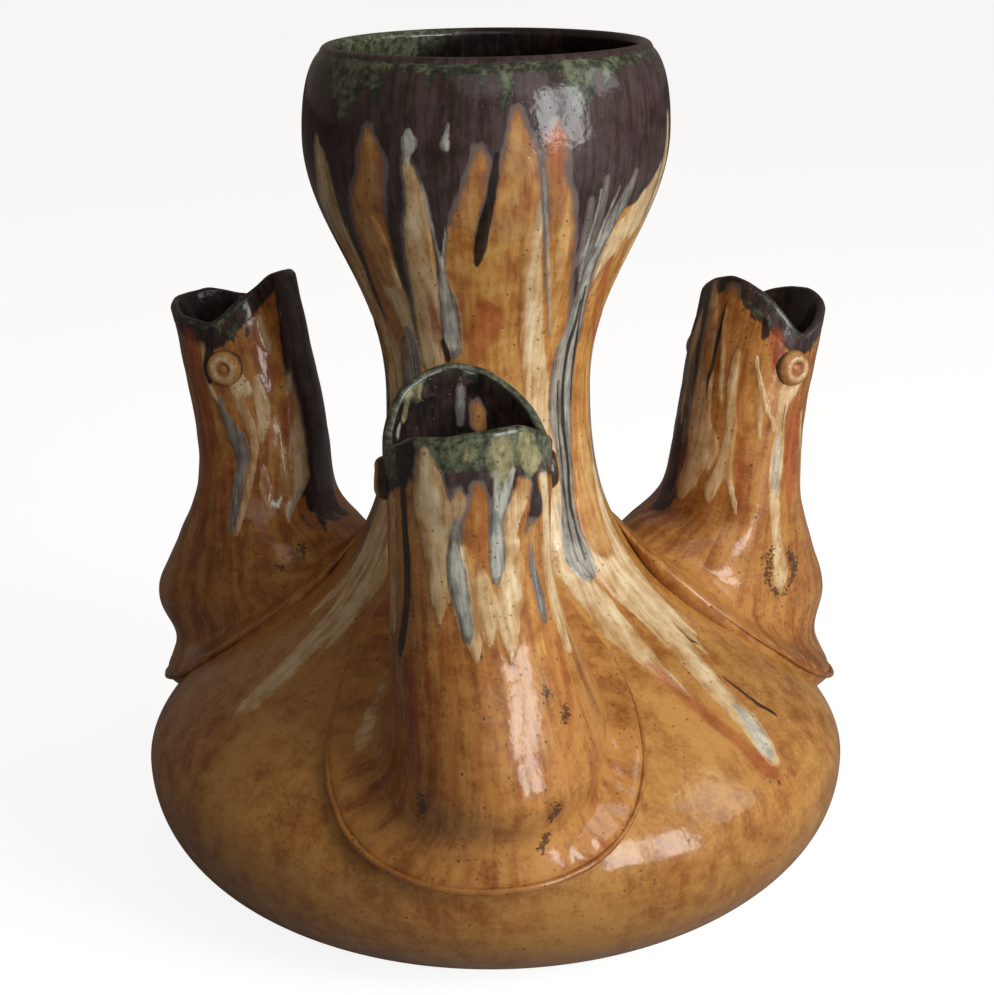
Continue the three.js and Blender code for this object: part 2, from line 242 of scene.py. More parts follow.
def smooth_run(rings, steps):
    """One smooth run through the rings, with a number of steps between each two."""
    rings = np.array(rings)
    padded = np.concatenate([(2 * rings[0] - rings[1])[None], rings, (2 * rings[-1] - rings[-2])[None]])
    rows = []
    for i, count in enumerate(steps):
        before, start, end, after = padded[i:i + 4]
        first, gap, last = (np.sqrt(np.linalg.norm(b - a, axis=-1, keepdims=True))
                            for a, b in ((before, start), (start, end), (end, after)))
        gap = np.maximum(gap, 1e-6)
        leave = ((start - before) / first - (end - before) / (first + gap) + (end - start) / gap) * gap
        arrive = ((end - start) / gap - (after - start) / (gap + last) + (after - end) / last) * gap
        for t in np.arange(count) / count:
            rows.append(start + leave * t + (-3 * start + 3 * end - 2 * leave - arrive) * t ** 2
                        + (2 * start - 2 * end + leave + arrive) * t ** 3)
    rows.append(padded[-2])
    return np.array(rows)


# Skins of corners and faces

def ring_normals(rings):
    """Unit normals of a grid of rings that run down the outside, closed round."""
    down = np.gradient(rings, axis=0)
    around = np.roll(rings, -1, axis=1) - np.roll(rings, 1, axis=1)
    normal = np.cross(down, around)
    return normal / np.maximum(np.linalg.norm(normal, axis=-1, keepdims=True), 1e-9)


def band_faces(rows, turns, closed):
    """Faces between rings of corners, and from the last ring to the first where the skin is closed."""
    i = np.arange(rows if closed else rows - 1)[:, None]
    j = np.arange(turns)[None, :]
    here, below = i * turns, (i + 1) % rows * turns
    ahead = (j + 1) % turns
    return np.stack([here + j, below + j, below + ahead, here + ahead], -1).reshape(-1, 4)


def end_fans(rows, turns):
    """Faces from the first and from the last ring to a corner in the middle of each."""
    around = np.arange(turns)
    ahead = (around + 1) % turns
    last = (rows - 1) * turns
    return [np.stack([np.full(turns, rows * turns), around, ahead], -1),
            np.stack([np.full(turns, rows * turns + 1), last + ahead, last + around], -1)]


def with_middles(values, turns):
    """Values per corner, followed by the mean of the first and of the last ring."""
    return np.vstack([values, values[:turns].mean(0), values[-turns:].mean(0)])


def faces_inward(corners, faces):
    first = corners[faces[:, 2]] - corners[faces[:, 0]]
    second = corners[faces[:, 3]] - corners[faces[:, 1]]
    return (corners[faces].mean(1) * np.cross(first, second)).sum() < 0


def skin_mesh(name, corners, faces):
    """A smooth mesh of corners in millimetres and lists of faces."""
    loops = np.concatenate([group.ravel() for group in faces])
    sizes = np.concatenate([np.full(len(group), group.shape[1]) for group in faces])
    mesh = bpy.data.meshes.new(name)
    mesh.vertices.add(len(corners))
    mesh.vertices.foreach_set("co", (corners * MM).astype(np.float32).ravel())
    mesh.loops.add(len(loops))
    mesh.loops.foreach_set("vertex_index", loops.astype(np.int32))
    mesh.polygons.add(len(sizes))
    mesh.polygons.foreach_set("loop_start", (np.cumsum(sizes) - sizes).astype(np.int32))
    mesh.polygons.foreach_set("use_smooth", np.ones(len(sizes), bool))
    mesh.update(calc_edges=True)
    mesh.validate()
    return mesh


def make_piece(name, rings, node, slot, material, fields, closed=True, keep=None, normals=None):
    """A mesh from rings of corners, which replaces the CAD node. Where it isn't closed from its last
    ring to its first, each end gets a fan round a middle corner. The fields are values per corner."""
    rows, turns = rings.shape[:2]
    corners = rings.reshape(-1, 3)
    faces = [band_faces(rows, turns, closed)]
    if not closed:
        corners = with_middles(corners, turns)
        faces += end_fans(rows, turns)
    if keep is not None:
        faces[0] = faces[0][keep(corners[faces[0]].mean(1))]
    if faces_inward(corners, faces[0]):
        faces = [group[:, ::-1] for group in faces]
    mesh = skin_mesh(name, corners, faces)
    for field, values in fields.items():
        flat = values.reshape(rows * turns, -1)
        if not closed:
            flat = with_middles(flat, turns)
        kind, key = ("FLOAT", "value") if flat.shape[1] == 1 else ("FLOAT_VECTOR", "vector")
        mesh.attributes.new(field, kind, "POINT").data.foreach_set(key, flat.astype(np.float32).ravel())
    if normals is not None:
        flat = normals.reshape(-1, 3)
        if not closed:
            flat = with_middles(flat, turns)
        mesh.normals_split_custom_set_from_vertices(flat.tolist())
    mesh.materials.append(material)
    piece = bpy.data.objects.new(name, mesh)
    bpy.context.scene.collection.objects.link(piece)
    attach(piece, "root")
    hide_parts(node)


# Shapes of the pieces

# A face of the clay: rings of corners, and for each corner how far down it lies in millimetres, how many
# degrees round, and how many millimetres a degree spans there
Clay = namedtuple("Clay", "rings run degrees per_degree")

LUTED_DEPTH = -0.45         # how far over the form's face a luted foot stays, so just under it
LIP_THICKNESS = 2.5         # the clay of a spout at its lip
THINNED_RUN = 18.0          # how far down it thickens to the whole wall
LIP_ARCH = 1.3              # how high the lip's edge is rounded
LIP_STEPS = (2.6, 2.1, 1.57, 1.04, 0.52)    # radians over the lip's edge, from the outside in
INSIDE_RUN = 4.0            # how far over the lip's edge the inside starts
INSIDE_STEP = 5             # the inside has a ring for every fifth ring of the outside
POINTS_AT_ONCE = 20000      # compared with the outline in one go, to spare memory


def half_turned(degrees):
    """Degrees brought between -180 and 180."""
    return (degrees + 180) % 360 - 180


def over_form(points):
    """How far points lie over the thrown form's face, and the way out of the face as (radius, height)."""
    radius = np.hypot(points[..., 0], points[..., 1]).ravel()
    height = points[..., 2].ravel()
    along = np.gradient(outline, axis=0)
    along /= np.linalg.norm(along, axis=1, keepdims=True)
    nearest = np.empty(len(radius), int)
    for start in range(0, len(radius), POINTS_AT_ONCE):
        part = slice(start, start + POINTS_AT_ONCE)
        gap = (radius[part, None] - outline[:, 0]) ** 2 + (height[part, None] - outline[:, 1]) ** 2
        nearest[part] = gap.argmin(1)
    out_r, out_z = along[nearest, 1], -along[nearest, 0]
    over = (radius - outline[nearest, 0]) * out_r + (height - outline[nearest, 1]) * out_z
    shape = points.shape[:-1]
    return over.reshape(shape), out_r.reshape(shape), out_z.reshape(shape)


def lute_to_form(rings, blend):
    """Draws a spout's foot onto the thrown form: what would lie inside it stays just under its face,
    and the two faces run together over a fillet as wide as the blend."""
    over, out_r, out_z = over_form(rings)
    share = np.clip(0.5 + 0.5 * (over - LUTED_DEPTH) / blend, 0, 1)
    wanted = LUTED_DEPTH + (over - LUTED_DEPTH) * share + blend * share * (1 - share)
    push = wanted - over
    radius = np.maximum(np.hypot(rings[..., 0], rings[..., 1]), 1e-6)
    moved = rings.copy()
    moved[..., 0] += rings[..., 0] / radius * out_r * push
    moved[..., 1] += rings[..., 1] / radius * out_r * push
    moved[..., 2] += out_z * push
    return moved


def handmade(points):
    """The slight unevenness of hand-thrown clay, the same for all pieces, so that joints stay joined."""
    x, y, z = (points[..., i] for i in range(3))
    sway = 0.35 * np.sin(z / 41.0 + 0.6)
    moved = points.copy()
    moved[..., 0] += sway + 0.3 * np.sin(z / 63.0 + y / 55.0 + 2.1)
    moved[..., 1] += 0.3 * np.sin(z / 52.0 - x / 47.0 + 4.0)
    moved[..., 2] += 0.2 * np.sin(x / 38.0 + y / 44.0 + 1.0) * np.clip((z - 3) / 20, 0, 1)
    return moved


def clay_noise(points, wavelength, seed):
    """Soft lumps of about the given wavelength, mostly between -1 and 1."""
    dice = np.random.default_rng(seed)
    total = np.zeros(points.shape[:-1])
    for _ in range(9):
        way = dice.normal(size=3)
        way *= TURN / (wavelength * dice.uniform(0.75, 1.5) * np.linalg.norm(way))
        total += np.sin(points @ way + dice.uniform(0, TURN))
    return total / 4.5


def about(points, degrees):
    """Points turned round the vase's axis."""
    turn = math.radians(degrees)
    moved = points.copy()
    moved[..., 0] = points[..., 0] * math.cos(turn) - points[..., 1] * math.sin(turn)
    moved[..., 1] = points[..., 0] * math.sin(turn) + points[..., 1] * math.cos(turn)
    return moved


def spout_shape(head):
    """The angles round a spout, the rings of its outside from the lip down, and the run to each corner."""
    angles = np.arange(SPOUT_TURNS) * TURN / SPOUT_TURNS
    sections = spout_sections(head)
    rows = [section_ring(section, angles, section is sections[0], push)
            for section, push in zip(sections, SIDE_PUSH)]
    for place, width, rise in head.bumps:
        away = half_turned(np.degrees(angles) - place)
        rows[0][:, 2] += rise * np.exp(-(away / width) ** 2)
    rows[0][:, 2] += 0.09 * np.sin(9 * angles + head.lips[1]) + 0.05 * np.sin(17 * angles + 2.0)
    outside = smooth_run(rows, SECTION_STEPS)
    step = np.linalg.norm(np.diff(outside, axis=0), axis=-1)
    run = np.concatenate([np.zeros((1, SPOUT_TURNS)), np.cumsum(step, 0)])
    return angles, outside, run


BRIM_START, BRIM_END = sum(SECTION_STEPS[:6]), sum(SECTION_STEPS[:7])


def finger_marks(outside, angles, seed):
    """How far in the brim of the skirt was pressed with a fingertip, mark after mark."""
    dice = np.random.default_rng(seed)
    row = np.arange(len(outside))[:, None]
    around = np.degrees(angles)[None, :]
    pressed = np.zeros(outside.shape[:2])
    place = -140.0
    while place < 140:
        centre = BRIM_START + (BRIM_END - BRIM_START) * dice.uniform(0.35, 0.8)
        away = half_turned(around - place)
        pressed += dice.uniform(0.25, 0.6) * np.exp(-(away / dice.uniform(2.2, 3.4)) ** 2
                                                    - ((row - centre) / dice.uniform(4, 7)) ** 2)
        place += dice.uniform(6.5, 11.0)
    return pressed


def shaped_spout(head, seed):
    """A spout in front, before it is turned to its side: the clay of its outside and of its inside,
    and the rings of its lip."""
    angles, outside, run = spout_shape(head)
    lumps = 0.32 * clay_noise(outside, 24, seed) + 0.1 * clay_noise(outside, 9, seed + 1)
    raised_by = lumps - finger_marks(outside, angles, seed + 2)
    outside = outside + ring_normals(outside) * raised_by[..., None]
    thickness = LIP_THICKNESS + (WALL - LIP_THICKNESS) * np.clip(run / THINNED_RUN, 0, 1)
    inside = (outside - ring_normals(outside) * thickness[..., None])[::INSIDE_STEP]
    back = 0.5 - 0.5 * np.cos(angles)
    fillet = 1.4 + 5 * np.clip((back - 0.55) / 0.45, 0, 1)
    luted = lute_to_form(outside, fillet[None, :])
    upward = outside[0] - outside[2]
    upward /= np.linalg.norm(upward, axis=-1, keepdims=True)
    middle, half = (outside[0] + inside[0]) / 2, (inside[0] - outside[0]) / 2
    lip = [middle + half * math.cos(t) + upward * LIP_ARCH * math.sin(t) for t in LIP_STEPS]
    degrees = np.degrees(angles) + np.zeros((len(run), 1))
    across_two = np.linalg.norm(np.roll(luted, -1, 1) - np.roll(luted, 1, 1), axis=-1)
    per_degree = across_two * SPOUT_TURNS / 720
    rows = slice(None, None, INSIDE_STEP)
    return (Clay(luted, run, degrees, per_degree),
            Clay(inside, INSIDE_RUN + run[rows], degrees[rows], per_degree[rows]),
            np.array(lip))


# Where the glazes ran

# The camera that took the photograph, fitted to the vase's outline
CAMERA_PLACE = Vector((1.705, -610.3, 303.8))
CAMERA_PITCH = math.radians(16.81)
CAMERA_ROLL = math.radians(0.603)
FOCAL_PIXELS = 2192.2
PHOTO_WIDTH, PHOTO_HEIGHT = 994, 995

forward = Vector((0, math.cos(CAMERA_PITCH), -math.sin(CAMERA_PITCH)))
upright = Vector((0, math.sin(CAMERA_PITCH), math.cos(CAMERA_PITCH)))
right = Vector((1, 0, 0))
picture_right = right * math.cos(CAMERA_ROLL) - upright * math.sin(CAMERA_ROLL)
picture_up = right * math.sin(CAMERA_ROLL) + upright * math.cos(CAMERA_ROLL)

# The runs of glaze that the photograph shows, picked on it: the glaze, then points down the middle
# of the run, each (pixels across, pixels down, half the run's width in pixels). One point alone is a
# drop or a patch.
PICKED = {
    "form": (
        ("plum", (316, 110, 12), (314, 150, 7), (319, 185, 5), (328, 215, 3.5), (338, 240, 2)),
        ("plum", (345, 110, 18), (345, 170, 8), (350, 210, 6), (363, 262, 3.5), (374, 290, 2.5),
         (386, 322, 1.5)),
        ("plum", (393, 110, 20), (393, 170, 13), (394, 200, 12), (399, 240, 9.5), (404, 270, 7),
         (411, 307, 4.5), (416, 338, 2)),
        ("plum", (445, 110, 30), (441, 170, 17), (440, 200, 13.5), (440, 227, 9), (440, 258, 4.5),
         (441, 278, 1.5)),
        ("plum", (497, 110, 20), (500, 150, 10), (489, 200, 6.5), (483, 227, 7.5), (479, 250, 6),
         (478, 262, 3)),
        ("plum", (543, 110, 14), (545, 150, 7), (547, 190, 5), (547, 230, 4), (546, 262, 3),
         (547, 300, 1.8)),
        ("plum", (605, 110, 30), (603, 150, 28), (602, 185, 28), (600, 205, 26), (592, 227, 19),
         (586, 262, 14), (579, 300, 9.5), (573, 331, 6)),
        ("plum", (655, 100, 20), (652, 130, 16), (645, 150, 12), (632, 175, 14), (620, 200, 12),
         (610, 220, 8)),
        ("cream", (317, 139, 1.5), (319, 150, 4.5), (322, 168, 7), (327, 200, 10), (337, 227, 9.5),
         (354, 262, 9), (370, 300, 8), (385, 331, 7.5), (394, 365, 8), (393, 390, 8)),
        ("orange", (367, 131, 2), (369, 142, 7), (371, 158, 11.5), (366, 200, 14), (368, 222, 14),
         (374, 245, 12), (380, 262, 10), (388, 280, 6)),
        ("cream", (371, 226, 8), (376, 245, 11), (382, 262, 10.5), (397, 300, 9.5), (408, 331, 6),
         (411, 350, 4)),
        ("pale", (408, 133, 4), (409, 138, 8), (409, 146, 7.5), (407, 156, 4), (406, 163, 2.5)),
        ("cream", (406, 160, 2.5), (408, 168, 5), (416, 200, 9.5), (417, 227, 13), (420, 262, 13.5),
         (428, 300, 15), (431, 331, 14), (432, 360, 11)),
        ("rust", (428, 285, 1), (431, 300, 4), (434, 320, 5), (436, 340, 3)),
        ("orange", (479, 150, 2), (480, 158, 5.5), (479, 168, 8), (471, 200, 12), (464, 227, 12.5),
         (461, 250, 11), (461, 275, 9)),
        ("orange", (518, 112, 2), (518, 125, 6), (520, 137, 11), (519, 168, 19), (516, 200, 23),
         (509, 227, 26), (500, 262, 32), (493, 290, 33), (491, 320, 32), (491, 350, 32)),
        ("cream", (528, 160, 2.5), (531, 185, 5.5), (533, 227, 9.5), (531, 262, 10), (532, 300, 11),
         (532, 340, 12), (536, 380, 12), (539, 417, 11), (546, 450, 8), (553, 490, 9), (557, 530, 10),
         (562, 565, 10)),
        ("orange", (557, 124, 3), (557, 137, 9.5), (557, 160, 9.5), (557, 182, 9), (561, 200, 11),
         (561, 227, 12.5), (559, 262, 12.5), (557, 300, 11), (555, 331, 9.5), (553, 360, 6)),
        ("rust", (557, 125, 3), (557, 137, 8.5), (557, 155, 8), (558, 172, 5), (560, 190, 2)),
        ("cream", (562, 180, 2), (563, 200, 5), (563, 227, 6), (561, 255, 6), (559, 280, 4)),
        # This cream run down the lit right edge of the cup is partly cream glaze and partly a painted
        # highlight.
        ("cream", (660, 165, 1.2), (655, 178, 4), (648, 192, 8), (641, 206, 11), (628, 227, 15),
         (613, 250, 10), (601, 270, 6), (594, 290, 3)),
        ("orange", (622, 246, 5), (614, 262, 10), (603, 280, 11), (599, 300, 12), (594, 331, 13),
         (586, 370, 11), (584, 417, 11), (584, 461, 11), (588, 500, 12), (600, 540, 12)),
        ("rust", (480, 297, 2), (488, 310, 14), (487, 325, 17), (480, 340, 14), (478, 355, 6)),
        ("rust", (609, 262, 3), (603, 285, 5), (598, 310, 6), (594, 340, 4), (590, 370, 2)),
        ("pale", (543, 168, 0.8), (545, 200, 1.2), (547, 230, 1.2), (548, 262, 1.2), (549, 300, 1.2),
         (550, 335, 1)),
        ("pale", (421, 182, 0.7), (428, 210, 1.1), (435, 240, 1.2), (440, 262, 1.6), (443, 280, 3),
         (446, 300, 5.5), (450, 320, 7), (451, 345, 6)),
        ("pale", (447, 222, 0.7), (444, 245, 1), (441, 268, 1.5)),
        ("pale", (612, 225, 1), (603, 240, 1.6), (594, 258, 1.6), (588, 275, 2), (584, 290, 3.5),
         (579, 310, 4), (575, 328, 3.5), (571, 345, 3)),
        ("pale", (606, 232, 0.8), (598, 250, 1), (590, 262, 1.2), (583, 285, 1.3)),
        ("pale", (489, 215, 0.8), (486, 235, 0.9), (483, 246, 0.8)),
        ("dark", (497, 155, 3), (494, 180, 4.5), (489, 205, 5), (484, 227, 6.5), (480, 248, 6.5),
         (478, 260, 4.5), (477, 266, 2)),
        ("slate", (636, 172, 0.6), (628, 190, 2.5), (617, 212, 4.5), (603, 238, 5), (591, 265, 4.5),
         (583, 290, 4)),
        ("slate", (607, 178, 0.5), (603, 200, 1.2), (597, 222, 2), (590, 245, 2.4), (583, 268, 2.2)),
        ("slate", (591, 200, 0.5), (588, 220, 1.2), (584, 240, 1.6), (580, 262, 1.6)),
        ("pale", (601, 190, 0.4), (597, 210, 0.7), (591, 232, 0.9), (584, 255, 1), (579, 280, 0.9)),
        ("pale", (622, 180, 0.4), (614, 200, 0.8), (604, 222, 1.2), (596, 245, 1.2)),
        ("slate", (441, 262, 3), (444, 285, 6), (448, 300, 9), (451, 325, 10), (452, 350, 9)),
        ("slate", (409, 331, 4), (410, 345, 9), (411, 362, 10), (412, 380, 10)),
        ("slate", (577, 300, 3), (573, 331, 8), (569, 341, 10), (563, 374, 11.5), (561, 417, 11),
         (565, 461, 7.5), (568, 505, 7), (571, 530, 10), (576, 548, 13), (581, 562, 14), (586, 571, 9)),
        ("dark", (580, 300, 0.8), (574, 325, 1.5), (569, 341, 1.8), (563, 374, 1.4), (562, 417, 2),
         (567, 461, 1.4), (570, 505, 1.6), (577, 535, 1.4), (585, 560, 1.2)),
        ("dark", (585, 285, 0.8), (579, 315, 1), (575, 345, 1.2), (571, 374, 1), (570, 400, 0.8)),
        ("dark", (558, 380, 0.8), (557, 417, 1), (561, 461, 1), (565, 505, 1), (570, 535, 1),
         (577, 562, 1)),
        ("dark", (443, 341, 2.5), (446, 350, 3), (448, 360, 3)),
        ("pale", (572, 341, 1.2), (567, 374, 1.6), (565, 400, 1.6), (563, 430, 1.4)),
        ("pale", (573, 520, 1), (583, 540, 1.2), (592, 562, 1.4), (595, 572, 2)),
        ("pale", (556, 500, 1), (561, 530, 1.2), (568, 558, 1.4), (577, 574, 2), (588, 579, 2.5)),
        ("pale", (448, 124, 1), (447, 131, 2.2), (446, 138, 3.5), (445, 144, 4.6), (445, 147, 4.2)),
        ("plum", (445, 142, 1.5), (445, 144, 2.2), (445, 146, 1.5)),
        ("cream", (386, 505, 5), (382, 530, 8), (371, 560, 11), (349, 600, 14), (323, 633, 13),
         (300, 655, 13), (280, 676, 13), (263, 692, 13), (250, 704, 11), (241, 711, 6)),
        ("cream", (392, 545, 3), (381, 575, 5), (365, 600, 5), (345, 628, 4), (325, 648, 2)),
        ("cream", (566, 560, 10), (575, 575, 14), (595, 600, 16), (618, 630, 17), (640, 653, 13),
         (662, 673, 8), (680, 688, 4), (694, 700, 2)),
        ("cream", (585, 500, 7), (594, 530, 12), (605, 560, 16), (630, 590, 18), (658, 620, 17),
         (690, 657, 14), (720, 693, 13), (745, 718, 12.5), (758, 735, 13), (766, 748, 11),
         (772, 758, 7)),
        ("cream", (608, 560, 5), (628, 578, 7), (655, 602, 7), (685, 630, 5), (705, 652, 2)),
        ("pale", (735, 706, 3), (748, 722, 7), (757, 735, 9), (764, 747, 8), (769, 755, 4)),
        ("rust", (648, 664, 3), (668, 680, 6), (690, 700, 7), (712, 720, 7), (735, 738, 7),
         (755, 757, 8), (770, 772, 10), (779, 778, 5)),
        ("dark", (672, 622, 0.8), (690, 640, 1), (708, 648, 0.6)),
        ("dark", (722, 676, 0.8), (745, 694, 1.6), (758, 704, 2.4), (772, 712, 2.2), (778, 717, 0.8)),
        ("dark", (763, 778, 1.6)),
        ("dark", (770, 782, 2.2)),
        ("dark", (779, 783, 2.8)),
        ("dark", (787, 778, 1.8)),
        ("green", (348, 66, 24), (346, 80, 20), (343, 95, 14), (342, 108, 7), (341, 120, 3)),
        ("green", (374, 66, 10), (374, 85, 6), (374, 103, 3)),
        ("green", (425, 62, 18), (429, 74, 8), (431, 80, 3)),
        ("green", (480, 63, 12), (480, 75, 7), (482, 84, 2)),
        ("green", (506, 64, 9), (506, 80, 6), (505, 98, 5), (503, 106, 2)),
        ("green", (576, 64, 22), (580, 80, 18), (582, 95, 13), (578, 110, 4)),
        ("green", (612, 64, 16), (607, 78, 6), (605, 86, 2)),
        ("green", (447, 108, 3)),
        ("green", (460, 114, 2)),
    ),
    "front": (
        ("olive", (500, 440, 9), (500, 448, 13), (502, 460, 15), (503, 472, 11), (502, 482, 5)),
        ("olive", (528, 442, 8), (530, 452, 11), (530, 464, 9), (528, 474, 4)),
        ("olive", (468, 448, 4), (470, 456, 5)),
        ("dark", (404, 440, 5), (406, 450, 8), (406, 462, 8)),
        ("plum", (410, 447, 20), (410, 456, 21), (408, 464, 19), (405, 473, 10), (404, 481, 5)),
        ("dark", (404, 455, 9), (404, 472, 6), (403, 485, 3), (404, 510, 2.8), (405, 530, 2.8),
         (407, 560, 3.2), (407, 590, 3.2), (404, 625, 3.4), (401, 645, 3.6), (400, 653, 2)),
        ("cream", (424, 452, 5), (425, 462, 9), (427, 475, 13), (428, 490, 16), (431, 508, 19),
         (435, 526, 18), (438, 548, 16), (440, 575, 12), (440, 600, 10), (440, 612, 5), (439, 622, 2)),
        ("plum", (452, 455, 12), (456, 470, 15), (458, 485, 16), (457, 500, 13), (453, 515, 7),
         (449, 530, 3), (453, 545, 1.5)),
        ("plum", (470, 470, 5), (469, 490, 5), (465, 510, 4.5), (461, 530, 3), (461, 545, 1.5)),
        ("cream", (458, 491, 2), (459, 500, 6.5), (458, 510, 6), (456, 520, 3)),
        ("orange", (478, 488, 2), (478, 500, 6), (477, 520, 10), (475, 540, 9), (474, 560, 7),
         (474, 575, 3)),
        ("rust", (482, 515, 1), (482, 535, 3), (480, 555, 3.5), (479, 570, 2)),
        ("cream", (462, 548, 4), (463, 575, 10), (466, 600, 13), (469, 625, 11), (473, 642, 8),
         (476, 655, 4.5), (477, 663, 2)),
        ("slate", (457, 520, 2), (454, 540, 4), (454, 556, 7.5), (457, 575, 10), (461, 598, 9),
         (465, 618, 7), (468, 635, 5.5), (469, 642, 3)),
        ("pale", (455, 545, 2.5), (455, 560, 5.5), (458, 580, 7), (462, 600, 6), (466, 620, 4.5),
         (468, 634, 3)),
        ("cream", (479, 566, 4), (482, 585, 8), (486, 605, 10), (487, 622, 9), (489, 637, 6),
         (490, 646, 2)),
        ("plum", (497, 455, 22), (499, 472, 21), (501, 485, 17), (500, 500, 12), (498, 515, 8),
         (497, 528, 6)),
        ("pale", (512, 470, 3), (508, 482, 4.5), (504, 500, 4.5), (500, 515, 3.5), (498, 528, 3)),
        ("pale", (496, 472, 2), (496, 490, 2.5), (496, 510, 2)),
        ("slate", (497, 500, 4), (496, 530, 7.5), (497, 550, 8), (497, 568, 7.5), (496, 580, 5)),
        ("pale", (497, 522, 3), (497, 540, 5.5), (497, 558, 6), (496, 574, 4.5)),
        ("cream", (526, 484, 5), (521, 495, 8), (516, 508, 9.5), (511, 522, 9), (508, 538, 7),
         (508, 552, 5)),
        ("cream", (513, 545, 7), (513, 570, 12), (510, 600, 14), (509, 625, 12), (511, 642, 8),
         (512, 655, 4), (512, 664, 1.5)),
        ("plum", (532, 468, 5), (534, 485, 4.5), (537, 500, 6), (536, 512, 6), (531, 522, 4),
         (529, 540, 3), (530, 560, 3), (535, 580, 3.5), (540, 600, 4), (543, 615, 3.5), (544, 620, 2)),
        ("slate", (531, 545, 1), (534, 570, 2.2), (539, 595, 3), (543, 612, 3)),
        ("cream", (544, 480, 4), (546, 500, 4), (547, 530, 5), (548, 560, 6), (553, 590, 6),
         (560, 620, 5), (567, 645, 4)),
        ("orange", (534, 530, 5), (522, 560, 7), (529, 590, 7), (535, 620, 8), (540, 650, 7)),
        ("cream", (391, 500, 3), (392, 545, 3.2), (393, 600, 3.4), (393, 626, 3.4)),
        ("cream", (386, 674, 3.4)),
        ("cream", (384, 682, 3.8)),
        ("cream", (380, 691, 4.4)),
        ("cream", (376, 700, 5)),
        ("cream", (373, 708, 6)),
        ("cream", (370, 717, 8.5)),
        ("cream", (367, 726, 10)),
        ("cream", (364, 735, 11)),
        ("cream", (360, 745, 8)),
        ("rust", (411, 660, 2), (413, 690, 3.5), (414, 730, 4), (416, 780, 4), (420, 800, 2)),
        ("rust", (428, 668, 2), (430, 700, 2.5), (432, 740, 3), (433, 770, 2)),
        ("rust", (559, 640, 2), (566, 680, 3), (570, 720, 3), (568, 750, 2)),
        ("spots", (420, 795, 2), (422, 806, 5), (421, 816, 2.5)),
        ("spots", (546, 690, 3), (548, 696, 4), (546, 702, 2)),
        ("spots", (566, 708, 3), (566, 716, 4.5), (564, 722, 2)),
        ("spots", (557, 806, 2.5), (556, 813, 4.5), (551, 820, 3)),
        ("spots", (546, 836, 4), (545, 843, 5), (543, 850, 3)),
    ),
    "left": (
        ("green", (218, 327, 7)),
        ("green", (233, 331, 9)),
        ("green", (248, 331, 6)),
        ("plum", (288, 275, 12), (292, 315, 12), (299, 365, 13), (307, 412, 14), (314, 460, 14),
         (321, 498, 13), (334, 518, 8)),
        ("cream", (258, 318, 3), (261, 332, 6), (266, 344, 5), (269, 352, 2)),
        ("rust", (252, 318, 3), (254, 332, 5), (262, 352, 6), (270, 372, 5), (272, 390, 2)),
        ("dark", (211, 330, 3.4), (209, 352, 4), (208, 370, 4), (210, 382, 2)),
        ("cream", (202, 345, 1.5), (204, 362, 2), (208, 383, 2.4), (216, 398, 2.6), (225, 412, 2),
         (231, 424, 1.5)),
        ("slate", (219, 395, 1.5), (224, 412, 3), (230, 425, 5), (236, 437, 8), (241, 450, 7.5),
         (243, 462, 6.5), (240, 478, 6), (236, 500, 5.5), (233, 520, 4), (231, 530, 2)),
        ("plum", (241, 452, 3), (242, 462, 4), (240, 472, 2.5)),
        ("cream", (235, 381, 8), (240, 388, 9), (247, 392, 5)),
        ("cream", (236, 390, 3.5), (241, 404, 4), (247, 418, 4.2), (252, 430, 4.2), (254, 455, 3.8),
         (250, 480, 3.8), (245, 500, 3.6), (240, 520, 3.8), (237, 530, 3), (236, 534, 2)),
        ("cream", (256, 380, 4), (259, 394, 7), (263, 410, 8.5), (264, 425, 8), (262, 438, 4)),
        ("orange", (275, 365, 3), (277, 382, 8), (279, 400, 8), (277, 420, 8), (275, 445, 8),
         (272, 470, 7), (270, 490, 4)),
        ("orange", (240, 400, 3), (243, 412, 3), (246, 424, 2)),
        ("rust", (289, 400, 4), (290, 415, 6), (287, 432, 5), (283, 445, 2)),
        ("cream", (289, 376, 2.5), (291, 395, 4), (295, 420, 6), (298, 445, 8), (299, 470, 8.5),
         (299, 488, 9), (294, 502, 8), (290, 512, 5), (288, 522, 2.5)),
        ("cream", (281, 435, 2.5), (283, 455, 3.5), (286, 475, 4), (288, 492, 4)),
        ("cream", (263, 468, 2.5), (264, 482, 4.5), (267, 496, 4.5), (268, 505, 2)),
        ("pale", (300, 492, 4), (294, 503, 5), (289, 515, 3)),
        ("plum", (300, 330, 6), (304, 370, 7), (309, 410, 8), (314, 450, 9), (318, 490, 9),
         (322, 515, 7), (325, 530, 4)),
        ("spots", (301, 545, 3), (302, 553, 5), (303, 560, 2.5)),
        ("spots", (278, 565, 2), (282, 568, 3.4), (286, 571, 1.5)),
        ("rust", (190, 335, 5), (197, 370, 6), (203, 410, 6), (207, 450, 6), (206, 490, 5),
         (200, 520, 3)),
        ("rust", (226, 470, 3), (224, 500, 4), (222, 530, 3)),
        ("orange", (212, 400, 3), (217, 420, 4), (219, 440, 3)),
    ),
    "right": (
        ("green", (748, 303, 8)),
        ("green", (758, 313, 9)),
        ("green", (768, 325, 7)),
        ("green", (812, 345, 6)),
        # Plum down the left edge of this head, toward the neck: partly plum glaze and partly painted shade
        # from the neck.
        ("plum", (707, 290, 9), (699, 340, 13), (691, 390, 13), (685, 430, 13), (674, 475, 13),
         (664, 500, 8)),
        ("dark", (765, 322, 4), (766, 330, 5), (763, 338, 2)),
        ("cream", (715, 284, 2.2), (714, 300, 3.6), (711, 330, 5), (707, 360, 7), (703, 390, 8.5),
         (700, 412, 10), (699, 430, 11.5), (699, 448, 12), (693, 466, 10), (686, 482, 9),
         (682, 492, 5)),
